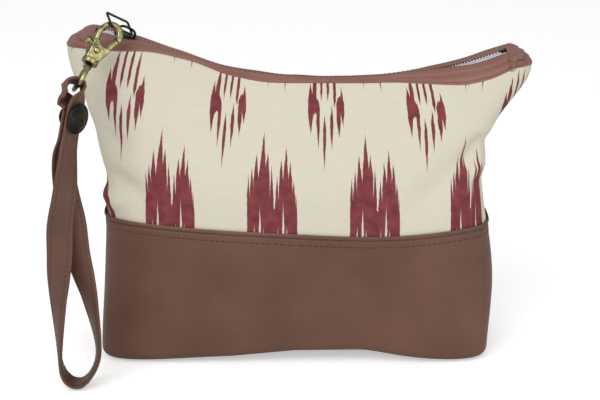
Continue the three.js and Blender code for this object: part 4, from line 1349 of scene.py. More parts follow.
@dataclass
class LeatherBody:
    """Leather lower half: walls, turned hem with its lip and topstitching, and the base."""

    form: PouchForm
    columns: int = 150
    rows: int = 84
    lip: float = 0.0026
    lip_proud: float = 0.0009
    band: float = 0.0085
    band_proud: float = 0.0004
    stitch_drop: float = 0.0071
    stitch_pitch: float = 0.0031
    stitch_proud: float = 0.0002
    stitch_shown: float = 0.72
    thread: float = 0.0007
    base_arch: float = 0.0085
    arch_middle: float = 0.006
    arch_width: float = 0.062
    arch_reach: float = 0.040
    arch_ripple: float = 0.3
    ripple_length: float = 0.021
    band_ease: float = 0.0012
    groove: float = 0.0009
    groove_wide: float = 0.0004
    channel: float = 0.0005
    base_rings: tuple[float, ...] = (0.985, 0.82, 0.55)

    def __post_init__(self) -> None:
        """Draws how the rows crowd at the base and the hem."""
        self.crowd = Curve([(0, 0), (0.14, 0.045), (0.22, 0.10), (0.60, 0.865), (1, 1)])

    def hem_profile(self, drop: float) -> float:
        """How far the hem stands proud at a distance below its edge.

        Args:
            drop: Distance below the edge.

        Returns:
            The distance.
        """
        lip = self.lip_proud * bump(drop, self.lip / 2, 0.55 * self.lip)
        past = smooth(drop, self.band - self.band_ease, self.band + self.band_ease)
        band = self.band_proud * (1 - past)
        groove = self.groove * bump(drop, self.lip + self.groove_wide, self.groove_wide)
        channel = self.channel * bump(drop, self.stitch_drop, self.channel)
        return lip + band - groove - channel

    def lift(self, point: Vector, z: float) -> float:
        """How far the soft base arches off the ground, most at the front.

        Args:
            point: The place.
            z: Height on the plain wall.

        Returns:
            The distance.
        """
        reach = 1 - smooth(z, 0.0, self.arch_reach)
        forward = mix(1.0, 0.5, smooth(point.y, -self.form.base_half_depth, self.form.base_half_depth))
        ripple = self.arch_ripple * math.sin((point.x - self.arch_middle) / self.ripple_length)
        arch = bump(point.x, self.arch_middle, self.arch_width) * (1 + ripple)
        return self.base_arch * reach * forward * arch

    def point(self, side: Side, along: float, z: float, proud: float = 0.0) -> Vector:
        """A point on the leather's outer face.

        Args:
            side: Front or back.
            along: Share of the way from the left seam to the right.
            z: Height.
            proud: Distance out from the plain face.

        Returns:
            The point.
        """
        x = self.form.wall(side, along, z).x
        drop = self.form.hem_height(x) - z
        point = self.form.skin(side, along, z, proud + self.hem_profile(drop))
        point.z += self.lift(point, z)
        return point

    def height(self, side: Side, along: float, up: float) -> float:
        """Height for a share of the rows, which crowd at the hem and the base.

        Args:
            side: Front or back.
            along: Share of the way from the left seam to the right.
            up: Share of the way up.

        Returns:
            The height.
        """
        z = self.form.hem_middle
        for _ in range(3):
            z = self.form.hem_height(self.form.wall(side, along, z).x) * self.crowd(up)
        return z

    def wall(self, side: Side) -> Mesh:
        """One wall of leather."""
        return grid(
            self.columns, self.rows, lambda s, t: self.point(side, s, self.height(side, s, t)),
        )

    def close_base(self, bm: Mesh) -> None:
        """Fills the base inside the walls' lowest edge.

        Args:
            bm: The mesh, which is changed.
        """
        edge = low_boundary(bm, self.form.hem_middle / 2)
        for share in self.base_rings:
            made = bmesh.ops.extrude_edge_only(bm, edges=edge)
            verts = new_parts(made, bmesh.types.BMVert)
            fresh = set(verts)
            edge = [e for e in new_parts(made, bmesh.types.BMEdge) if fresh.issuperset(e.verts)]
            bmesh.ops.scale(bm, vec=(share, share, 1.0), verts=verts)
        bmesh.ops.edgeloop_fill(bm, edges=edge)

    def stitch_row(self, side: Side) -> Mesh:
        """Topstitching along one wall's hem.

        Args:
            side: Front or back.

        Returns:
            The mesh.
        """
        points, outs, tries = [], [], 700
        for k in range(tries + 1):
            along = mix(0.004, 0.996, k / tries)
            z = self.height(side, along, 1.0) - self.stitch_drop
            here = self.point(side, along, z, self.stitch_proud)
            if not points or (here - points[-1]).length >= self.stitch_pitch:
                points.append(here)
                outs.append(self.form.outward(side, along, z))
        return stitches(points, outs, self.stitch_shown, self.thread)

    def build(self, finishes: Finishes) -> None:
        """Makes the leather and its stitching.

        Args:
            finishes: The materials.
        """
        bm = both_walls(self.wall)
        self.close_base(bm)
        bmesh.ops.recalc_face_normals(bm, faces=bm.faces)
        parts = ("lower_panel", "hem_band")
        nodes = [f"{side.name.lower()}_{part}" for side in Side for part in parts]
        nodes.append("base_panel")
        piece("leather_body", bm, finishes.leather, "pouch", Slot.LEATHER, nodes)
        rows = joined(self.stitch_row(side) for side in Side)
        piece("hem_stitching", rows, finishes.thread, "pouch", Slot.LEATHER)


@dataclass
class PrintedCloth:
    """Cloth upper half, from behind the leather hem to the top seams."""

    form: PouchForm
    columns: int = 150
    rows: int = 72
    tuck: float = 0.004
    inset: float = 0.0004
    roll: float = 0.0003
    thickness: float = 0.0010
    still_height: float = 0.122
    curl_height: float = 0.150
    curl_span: float = 0.020
    stretch: float = 1.2
    tilt: float = 0.03
    middle: float = 0.016
    side_slip: float = 0.013
    right_slip: float = 0.006
    roll_start: float = 0.96

    def __post_init__(self) -> None:
        """Measures the walls and draws the curves of the print's drift and curl."""
        low, high = self.form.hem_middle - self.tuck, self.form.seam_left
        self.arcs = {side: ArcTable(self.form, side, low, high) for side in Side}
        self.drift = Curve([
            (-0.13, 0.0), (-0.104, 0.02), (-0.047, 0.07), (self.middle, 0.0),
            (0.08, -0.04), (0.13, 0.02),
        ])
        self.curl = Curve([
            (-0.12, 0.065), (-0.104, 0.065), (-0.047, 0.05), (self.middle, 0.0),
            (0.08, -0.10), (0.11, 0.0),
        ])
        self.stretches = Curve([(-0.115, 1.0), (-0.03, self.stretch), (0.13, self.stretch)])

    def height(self, side: Side, along: float, up: float) -> float:
        """Height for a share of the way from the tucked edge to the top seam.

        Args:
            side: Front or back.
            along: Share of the way from the left seam to the right.
            up: Share of the way up.

        Returns:
            The height.
        """
        z = self.form.waist_height
        for _ in range(4):
            x = self.form.wall(side, along, z).x
            z = mix(self.form.hem_height(x) - self.tuck, self.form.seam_height(side, x), up)
        return z

    def point(self, side: Side, along: float, up: float) -> Vector:
        """A point on the cloth, which rolls in over the top seam at its last rows.

        Args:
            side: Front or back.
            along: Share of the way from the left seam to the right.
            up: Share of the way up.

        Returns:
            The point.
        """
        turn = max(up - self.roll_start, 0.0) / (1 - self.roll_start)
        z = self.height(side, along, min(up, 1.0))
        angle = turn * math.pi / 2
        inward = self.inset + self.roll * (1 - math.cos(angle))
        return self.form.skin(side, along, z, -inward)

    def print_place(self, side: Side, along: float, up: float) -> Vector:
        """Place on the flat cloth.

        Args:
            side: Front or back.
            along: Share of the way from the left seam to the right.
            up: Share of the way up.

        Returns:
            The place, with no height.
        """
        z = self.height(side, along, up)
        s = self.arcs[side](along, z)
        rise, late = max(z - self.still_height, 0.0), max(z - self.curl_height, 0.0)
        u = s - self.drift(s) * rise - self.curl(s) * late * late / self.curl_span
        u -= self.side_slip * (1 - smooth(s, -0.120, -0.100)) * (1 - smooth(z, 0.100, 0.114))
        u += self.right_slip * smooth(s, 0.092, 0.125)
        v = z - self.form.hem_middle + rise * (self.stretches(s) - 1) + self.tilt * (s - self.middle)
        if side is Side.BACK:
            u = 2 * self.arcs[Side.FRONT](1.0, self.form.hem_middle) - u
        return Vector((u, v, 0.0))

    def wall(self, side: Side) -> Mesh:
        """One wall of cloth with its print map.

        Args:
            side: Front or back.

        Returns:
            The mesh.
        """
        return grid(
            self.columns, self.rows, lambda s, t: self.point(side, s, t),
            lambda s, t: self.print_place(side, s, t),
        )

    def build(self, finishes: Finishes) -> None:
        """Makes the cloth.

        Args:
            finishes: The materials.
        """
        cloth = piece(
            "printed_cloth", both_walls(self.wall), finishes.cloth, "pouch", Slot.CLOTH,
            ["front_upper_panel", "back_upper_panel"],
        )
        below = cloth.data.attributes.new("below_seam", "FLOAT", "POINT")
        for vert, value in zip(cloth.data.vertices, below.data):
            side = Side.FRONT if vert.co.y < 0 else Side.BACK
            value.value = self.form.seam_height(side, vert.co.x) - vert.co.z
        thicken(cloth, self.thickness)


@dataclass
class Lining:
    """Inner lining of the walls and base."""

    form: PouchForm
    columns: int = 80
    rows: int = 30
    inset: float = 0.0036
    short: float = 0.007
    base_gap: float = 0.002
    base_reach: float = 0.01
    thickness: float = 0.0005

    def point(self, side: Side, along: float, up: float) -> Vector:
        """A point on the lining.

        Args:
            side: Front or back.
            along: Share of the way from the left seam to the right.
            up: Share of the way up.

        Returns:
            The point.
        """
        z = self.form.waist_height
        for _ in range(4):
            top = self.form.seam_height(side, self.form.wall(side, along, z).x) - self.short
            z = mix(self.form.base_round + self.base_gap, top, up)
        return self.form.skin(side, along, z, -self.inset)

    def build(self, finishes: Finishes) -> None:
        """Makes the lining.

        Args:
            finishes: The materials.
        """
        bm = both_walls(
            lambda side: grid(self.columns, self.rows, lambda s, t: self.point(side, s, t)),
        )
        bmesh.ops.edgeloop_fill(bm, edges=low_boundary(bm, self.form.base_round + self.base_reach))
        nodes = ["lining_front", "lining_back", "lining_base"]
        thicken(piece("lining", bm, finishes.lining, "pouch", Slot.LINING, nodes), self.thickness)


@dataclass(frozen=True)
class ZipLine:
    """The zip's arc over the pouch; lift is measured up from the middle of its tapes."""

    low_x: float = 0.0195
    low_z: float = 0.168
    radius: float = 0.288
    left_end: float = -0.122
    right_end: float = 0.127
    left_sag: float = 0.0038
    sag_start: float = -0.111

    def angle(self, x: float) -> float:
        """Turn along the arc at a place across the pouch."""
        return math.asin((x - self.low_x) / self.radius)

    def point(self, angle: float, y: float, lift: float) -> Vector:
        """A point beside and over the arc.

        Args:
            angle: Turn along the arc.
            y: Place through the pouch.
            lift: Distance over the arc.

        Returns:
            The point.
        """
        reach = self.radius - lift
        x = self.low_x + reach * math.sin(angle)
        sag = self.left_sag * smooth(-x, -self.sag_start, -self.left_end)
        return Vector((x, y, self.low_z + self.radius - reach * math.cos(angle) - sag))


def face_up(bm: Mesh) -> Mesh:
    """Turns a sheet's faces to the sky.

    Args:
        bm: The mesh, which is changed.

    Returns:
        The same mesh.
    """
    bm.normal_update()
    if sum(face.normal.z * face.calc_area() for face in bm.faces) < 0:
        bmesh.ops.reverse_faces(bm, faces=bm.faces)
    return bm


@dataclass
class ZipGusset:
    """Leather top: a facing along each side of the zip and a tent-shaped piece over each end."""

    form: PouchForm
    zip: ZipLine
    columns: int = 150
    rows: int = 34
    closed_edge: float = 0.0009
    front_edge: float = 0.0082
    back_edge: float = 0.0050
    open_lift: float = 0.0013
    closed_lift: float = 0.0031
    fall: float = 1.4
    fold: float = 0.54
    fold_proud: float = 0.0009
    fold_ease: float = 0.03
    fold_line: float = 0.0007
    groove: float = 0.0013
    seam_groove: float = 0.0023
    lap: float = -0.0002
    ripple: float = 0.0006
    crown: float = 0.0010
    edge_roll: float = 0.0010
    edge_round: float = 0.0022
    seam_line: float = 0.0006
    end_width: float = 0.016
    end_bridge: float = 0.0012
    stitch_count: int = 86
    stitch_shown: float = 0.7
    thread: float = 0.0006
    thickness: float = 0.0012
    end_fall: dict[Hand, float] = field(default_factory=lambda: {Hand.LEFT: 1.5, Hand.RIGHT: 2.2})

    def __post_init__(self) -> None:
        """Draws where the facings close over the zip: everywhere but near its ends."""
        self.opening = Curve([
            (self.zip.left_end, 1.0), (-0.106, 0.95), (-0.094, 0.0),
            (0.074, 0.0), (0.090, 0.3), (0.107, 0.95), (self.zip.right_end, 1.0),
        ])

    def edge(self, side: Side, x: float) -> float:
        """How far a facing's edge lies from the middle of the zip."""
        wide = self.front_edge if side is Side.FRONT else self.back_edge
        return mix(self.closed_edge, wide, self.opening(x))

    def section(self, side: Side, x: float, out: float) -> Vector:
        """A point across a facing, from the zip's edge at 0 to the top seam at 1.

        Args:
            side: Front or back.
            x: Place across the pouch.
            out: Place across it, 0 at the zip and 1 at the seam.

        Returns:
            The point.
        """
        lift = mix(self.closed_lift, self.open_lift, self.opening(x))
        edge = self.zip.point(self.zip.angle(x), side.value * self.edge(side, x), lift)
        reach = max(self.form.top_reach(side, x) + self.lap, self.edge(side, x) + MM)
        seam = Vector((x, side.value * reach, self.form.seam_height(side, x) + self.form.seam_rise))
        point = edge.lerp(seam, out)
        point.z = mix(edge.z, seam.z, out**self.fall)
        run = seam - edge
        line = Vector((0.0, -side.value * run.z, abs(run.y))).normalized()
        return point + line * self.relief(out, run.length, point)

    def relief(self, out: float, width: float, point: Vector) -> float:
        """How far the leather stands off its plain face: a folded strip, grooves and soft ripples.

        Args:
            out: Place across it, 0 at the zip and 1 at the seam.
            width: The facing's width there.
            point: The place.

        Returns:
            The distance.
        """
        past = smooth(out, self.fold - self.fold_ease, self.fold + self.fold_ease)
        strip = self.fold_proud * (1 - past)
        dip = self.groove * bump(out, self.fold + self.fold_ease, self.fold_line / width)
        near = (1 - out) * width
        seam = 0.7 * self.groove * bump(near, self.seam_groove, self.seam_line)
        roll = self.edge_roll * (1 - smooth(out * width, 0.0, self.edge_round))
        sway = noise.noise(Vector((point.x * 55, point.y * 160, 3.0))) * math.sin(math.pi * out)
        crown = self.crown * math.sin(math.pi * out)
        return strip - dip - seam - roll + crown + self.ripple * sway

    def facing(self, side: Side) -> Mesh:
        """One facing."""
        ends = self.zip.left_end, self.zip.right_end
        return face_up(grid(self.columns, self.rows, lambda s, t: self.section(side, mix(*ends, s), t)))

    def bridge(self, x: float, share: float) -> Vector:
        """A point across the whole gusset at its end, from the front seam at -1 to the back one at 1.

        Args:
            x: Place across the pouch.
            share: Place across, -1 at the front seam and 1 at the back.

        Returns:
            The point.
        """
        side = Side.FRONT if share < 0 else Side.BACK
        edge, reach = self.edge(side, x), self.form.top_reach(side, x) + self.lap
        away = abs(share) * reach
        if away < edge:
            lip = self.section(side, x, 0.0)
            return Vector((lip.x, side.value * away, lip.z + self.end_bridge * (1 - away / edge)))
        return self.section(side, x, (away - edge) / (reach - edge))

    def end_point(self, hand: Hand, share: float, out: float) -> Vector:
        """A point on an end piece.

        Args:
            hand: Left or right end.
            share: Place across it, from the front seam at -1 to the back one at 1.
            out: Place along it, from the zip's end at 0 to the rounded end of the top seam at 1.

        Returns:
            The point.
        """
        start = self.zip.left_end if hand is Hand.LEFT else self.zip.right_end
        side = Side.FRONT if share < 0 else Side.BACK
        high = self.bridge(start, share)
        low = self.form.top_rim(side, hand, start, abs(share), -self.lap)
        point = high.lerp(low, out)
        point.z = low.z + (high.z - low.z) * (1 - out ** self.end_fall[hand])
        ridge = self.bridge(start, 0.0).z - low.z
        level = (point.z - low.z) / max(ridge, MM)
        proud = self.fold_proud * smooth(level, 0.50, 0.58) - self.groove * bump(level, 0.47, 0.05)
        seam = 0.7 * self.groove * bump((1 - out) * self.end_width, self.seam_groove, self.seam_line)
        lean = Vector((hand.value * 0.6, side.value * min(abs(share), 0.6), 0.7)).normalized()
        inside = smooth(1 - abs(share), 0.0, 0.10) * smooth(out, 0.0, 0.25)
        sway = noise.noise(Vector((point.x * 120, point.y * 70, 7.0))) * math.sin(math.pi * out)
        return point + lean * (proud - seam + 2 * self.ripple * sway) * inside

    def end_piece(self, hand: Hand) -> Mesh:
        """One end piece."""
        return face_up(grid(64, 28, lambda s, t: self.end_point(hand, 2 * s - 1, t)))

    def stitch_row(self, side: Side) -> Mesh:
        """Topstitching beside the zip on one facing.

        Args:
            side: Front or back.

        Returns:
            The mesh.
        """
        points, outs = [], []
        for k in range(self.stitch_count + 1):
            share = mix(0.02, 0.98, k / self.stitch_count)
            x = mix(self.zip.left_end, self.zip.right_end, share)
            here, there = self.section(side, x, 0.16), self.section(side, x, 0.22)
            points.append(here)
            outs.append(Vector((1, 0, 0)).cross(there - here).normalized() * side.value)
        return stitches(points, outs, self.stitch_shown, self.thread)

    def build(self, finishes: Finishes) -> None:
        """Makes the facings, the end pieces and their stitching.

        Args:
            finishes: The materials.
        """
        for side in Side:
            word = side.name.lower()
            made = piece(
                f"{word}_gusset", self.facing(side), finishes.gusset, "pouch", Slot.GUSSET,
                [f"{word}_zip_facing"],
            )
            thicken(made, self.thickness)
        for hand in Hand:
            word = hand.name.lower()
            made = piece(
                f"{word}_gusset_end", self.end_piece(hand), finishes.gusset, "pouch", Slot.GUSSET,
                [f"{word}_zip_end"],
            )
            thicken(made, self.thickness)
        rows = joined(self.stitch_row(side) for side in Side)
        piece("gusset_stitching", rows, finishes.thread, "pouch", Slot.GUSSET)


@dataclass
class ZipTapes:
    """White zip: a woven tape on each side and a row of teeth on each tape."""

    zip: ZipLine
    columns: int = 120
    inner: float = 0.0004
    front_outer: float = 0.0092
    back_outer: float = 0.0046
    lift: float = 0.0004
    pitch: float = 0.0019
    tooth: tuple[float, float, float] = (0.0006, 0.0007, 0.0006)
    stop_long: float = 0.003
    stop_high: float = 0.0014
    stop_wide: float = 0.0021
    stop_off: float = 0.0017
    stop_ease: float = 0.0004
    end_stop_wide: float = 0.0050
    tooth_off: float = 0.00135
    tooth_lift: float = 0.0010
    first_tooth: float = 0.006
    last_tooth: float = 0.004
    end_gap: float = 0.0005
    dish: float = 0.0016

    def between(self, left: float, right: float) -> Pair:
        """The turns along the zip at given distances from its ends."""
        return self.zip.angle(self.zip.left_end + left), self.zip.angle(self.zip.right_end - right)

    def tape(self, side: Side) -> Mesh:
        """One tape, dished a little between the teeth and the facing.

        Args:
            side: Front or back.

        Returns:
            The mesh.
        """
        ends = self.between(self.end_gap, self.end_gap)
        outer = self.front_outer if side is Side.FRONT else self.back_outer

        def place(along: float, out: float) -> Vector:
            """A point on the tape's upper face."""
            y = mix(self.inner, outer, out)
            dip = self.dish * smooth(out, 0.45, 1.0)
            return self.zip.point(mix(*ends, along), side.value * y, self.lift - dip)

        return face_up(grid(self.columns, 6, place))

    def teeth(self, side: Side) -> Mesh:
        """One row of moulded teeth.

        Args:
            side: Front or back.

        Returns:
            The mesh.
        """
        bm = bmesh.new()
        start, end = self.between(self.first_tooth, self.last_tooth)
        count = round((end - start) * self.zip.radius / self.pitch)
        for k in range(count):
            angle = mix(start, end, (k + (0.5 if side is Side.BACK else 0.0)) / count)
            place = self.zip.point(angle, side.value * self.tooth_off, self.tooth_lift)
            axes = Matrix.Translation(place) @ Matrix.Rotation(-angle, 4, "Y")
            size = Matrix.Diagonal((*self.tooth, 1.0))
            bmesh.ops.create_icosphere(bm, subdivisions=1, radius=1.0, matrix=axes @ size)
        return bm

    def stop(self, x: float, y: float, wide: float) -> Mesh:
        """A small moulded block that stops the slider.

        Args:
            x: Place across the pouch.
            y: Place through the pouch.
            wide: Its width.

        Returns:
            The mesh.
        """
        angle = self.zip.angle(x)
        half, high = self.stop_long / 2, self.stop_high
        outline = [(-half, 0.0), (half, 0.0), (half, high), (-half, high)]
        axes = Matrix.Translation(self.zip.point(angle, y, self.lift)) @ Matrix.Rotation(-angle, 4, "Y")
        return slab(outline, wide, self.stop_ease, axes)

    def build(self, finishes: Finishes) -> None:
        """Makes both tapes, both rows of teeth and the stops.

        Args:
            finishes: The materials.
        """
        for side in Side:
            word = side.name.lower()
            tape = piece(
                f"{word}_tape", self.tape(side), finishes.tape, "pouch", Slot.TAPE, [f"{word}_zip_tape"],
            )
            thicken(tape, 2 * self.lift)
            piece(
                f"{word}_teeth", self.teeth(side), finishes.nylon, "pouch", Slot.NYLON,
                [f"{word}_zip_teeth"],
            )
            place = self.zip.left_end + self.stop_long
            top = self.stop(place, side.value * self.stop_off, self.stop_wide)
            piece(f"{word}_stop", top, finishes.nylon, "pouch", Slot.NYLON, [f"{word}_top_stop"])
        low = self.stop(self.zip.right_end - 0.6 * self.stop_long, 0.0, self.end_stop_wide)
        piece("end_stop", low, finishes.gunmetal, "pouch", Slot.GUNMETAL, ["zip_bottom_stop"])


def refined(node: str, finish: Material, slot: Slot, sharp_degrees: float) -> None:
    """A solid's copy with merged corners and smooth faces.

    Args:
        node: The solid.
        finish: Its material.
        slot: The record's slot for its finish.
        sharp_degrees: Edges turned more than this stay sharp.
    """
    source = frame["nodes"][node]
    bm = bmesh.new()
    bm.from_mesh(source.data)
    bmesh.ops.remove_doubles(bm, verts=bm.verts, dist=2e-6)
    bmesh.ops.recalc_face_normals(bm, faces=bm.faces)
    piece(f"{node}_finish", bm, finish, source["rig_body"], slot, [node], sharp_degrees)


def joint(name: str) -> tuple[Vector, Vector]:
    """A joint's place and axis at rest, as the frame has them."""
    row = next(row for row in frame["joints"] if row["name"] == name)
    return Vector(row["pos_m"]), Vector(row["axis"])


def clasp_axes() -> Matrix:
    """The clasp's own frame: from the gate's pin, with Y through the clasp and Z along its swivel."""
    place, pin = joint("gate_trigger")
    _, along = joint("eye_swivel")
    return frame_at(place, along.cross(pin), -pin, along)


def in_metres(outline: Sequence[Pair]) -> list[Pair]:
    """An outline in millimetres, in metres."""
    return [(x * MM, z * MM) for x, z in outline]


@dataclass
class SwivelClasp:
    """Antique brass lobster clasp: body with its collar, hook, and a gate with a trigger pad.

    Sizes are millimetres in the clasp's own frame: X across it, Y through it and Z along it.
    """

    axes: Matrix
    thick: float = 6.4
    hook_line: tuple[Pair, ...] = (
        (-2.3, 3.0), (-3.0, 7.0), (-3.3, 11.0), (-2.9, 14.6), (-1.0, 17.8),
        (2.2, 19.5), (5.6, 18.9), (8.0, 16.6), (8.7, 13.8), (8.3, 11.9),
    )
    hook_wide: tuple[float, ...] = (3.6, 3.3, 3.1, 3.0, 3.0, 3.2, 3.6, 4.0, 4.1, 4.0)
    hook_deep: float = 4.4
    gate_line: tuple[Pair, ...] = ((4.9, 2.6), (6.2, 5.4), (7.3, 8.3), (8.1, 11.2))
    gate_wide: float = 3.7
    gate_deep: float = 3.9
    body_ease: float = 0.9
    body: tuple[Pair, ...] = (
        (-4.3, -6.1), (4.3, -6.1), (4.9, -3.6), (6.4, 0.4), (7.7, 3.4), (6.9, 4.9), (4.6, 4.4),
        (2.3, 3.9), (0.2, 4.6), (-1.0, 6.6), (-4.4, 6.6), (-4.3, 2.0), (-4.0, -2.6),
    )
    collar_low: float = -8.7
    collar_high: float = -6.0
    collar_wide: float = 9.8
    lever_high: float = 2.9
    lever_wide: float = 2.5
    pad_wide: float = 5.2
    lever_lean: float = -84.0
    sharp_degrees: float = 40.0

    def at(self, x: float, z: float) -> Vector:
        """A point in the clasp's middle plane."""
        return Vector((x, 0.0, z)) * MM

    def bar(self, line: Sequence[Pair], wide: Sequence[float], deep: float) -> Mesh:
        """A rounded bar along a line in the middle plane, with its own width at each point.

        Args:
            line: The points that it passes.
            wide: Its width at each point.
            deep: Its depth.

        Returns:
            The mesh.
        """
        per = 6
        points = bent([self.at(*pair) for pair in line], per)
        sizes = Curve([(k * per, value) for k, value in enumerate(wide)])
        frames = path_frames(points, Vector((0.0, 1.0, 0.0)))
        swells = [Matrix.Diagonal((1.0, sizes(k) / wide[0], 1.0, 1.0)) for k in range(len(frames))]
        stations = [axes @ swell for axes, swell in zip(frames, swells)]
        section = rounded(deep * MM, wide[0] * MM, 0.40 * wide[0] * MM, 4)
        bm = sweep(section, stations)
        bmesh.ops.transform(bm, matrix=self.axes, verts=bm.verts)
        return bm

    def collar(self) -> Mesh:
        """The turned ring under the body, open below round the swivel's neck.

        Returns:
            The mesh.
        """
        r, low, high = self.collar_wide / 2, self.collar_low, self.collar_high
        profile = (
            (0.0, high + 0.4), (0.86 * r, high + 0.4), (0.92 * r, high), (0.99 * r, high - 0.15),
            (r, high - 0.5), (r, low + 0.5), (0.97 * r, low + 0.12), (0.90 * r, low),
            (0.5 * r, low), (0.45 * r, low + 0.3), (0.45 * r, high - 0.9), (0.0, high - 0.9),
        )
        return turned(in_metres(profile), 40, self.axes)

    def trigger(self) -> Mesh:
        """The lever's round neck and its thumb pad, pointing out to the left.

        Returns:
            The mesh.
        """
        half, pad = self.lever_wide / 2, self.pad_wide / 2
        profile = (
            (0.0, 2.6), (half, 2.6), (half, 5.4), (0.72 * pad, 5.7), (0.95 * pad, 6.1),
            (pad, 6.7), (pad, 7.5), (0.92 * pad, 8.1), (0.6 * pad, 8.4), (0.0, 8.5),
        )
        lean = Matrix.Rotation(math.radians(self.lever_lean), 4, "Y")
        root = Matrix.Translation(self.at(0.0, self.lever_high)) @ lean
        return turned(in_metres(profile), 28, self.axes @ root)

    def build(self, finishes: Finishes) -> None:
        """Makes the fixed part on the clasp and the gate on its own body.

        Args:
            finishes: The materials.
        """
        hook = self.bar(self.hook_line, self.hook_wide, self.hook_deep)
        plate = slab(in_metres(self.body), self.thick * MM, self.body_ease * MM, self.axes)
        fixed = joined([hook, plate, self.collar()])
        piece(
            "clasp_body", fixed, finishes.brass, "clasp", Slot.BRASS, ["clasp_hook"], self.sharp_degrees,
        )
        finger = self.bar(self.gate_line, [self.gate_wide] * len(self.gate_line), self.gate_deep)
        gate = joined([finger, self.trigger()])
        piece(
            "gate_with_trigger", gate, finishes.brass, "gate", Slot.BRASS, ["clasp_gate"],
            self.sharp_degrees,
        )


@dataclass
class Hardware:
    """Other metal pieces: slider, bail and pull, the clasp's pin, spring and eye, and the rivet."""

    sharp_degrees: float = 38.0
    round_degrees: float = 60.0

    def build(self, finishes: Finishes) -> None:
        """Makes each metal piece from its solid.

        Args:
            finishes: The materials.
        """
        refined("swivel_eye", finishes.brass, Slot.BRASS, self.round_degrees)
        refined("gate_pin", finishes.brass, Slot.BRASS, self.sharp_degrees)
        for node in ("zip_slider", "slider_bail", "pull_frame", "gate_spring"):
            refined(node, finishes.gunmetal, Slot.GUNMETAL, self.sharp_degrees)
        for node in ("rivet_cap", "rivet_back", "rivet_post"):
            refined(node, finishes.gunmetal, Slot.GUNMETAL, self.round_degrees)


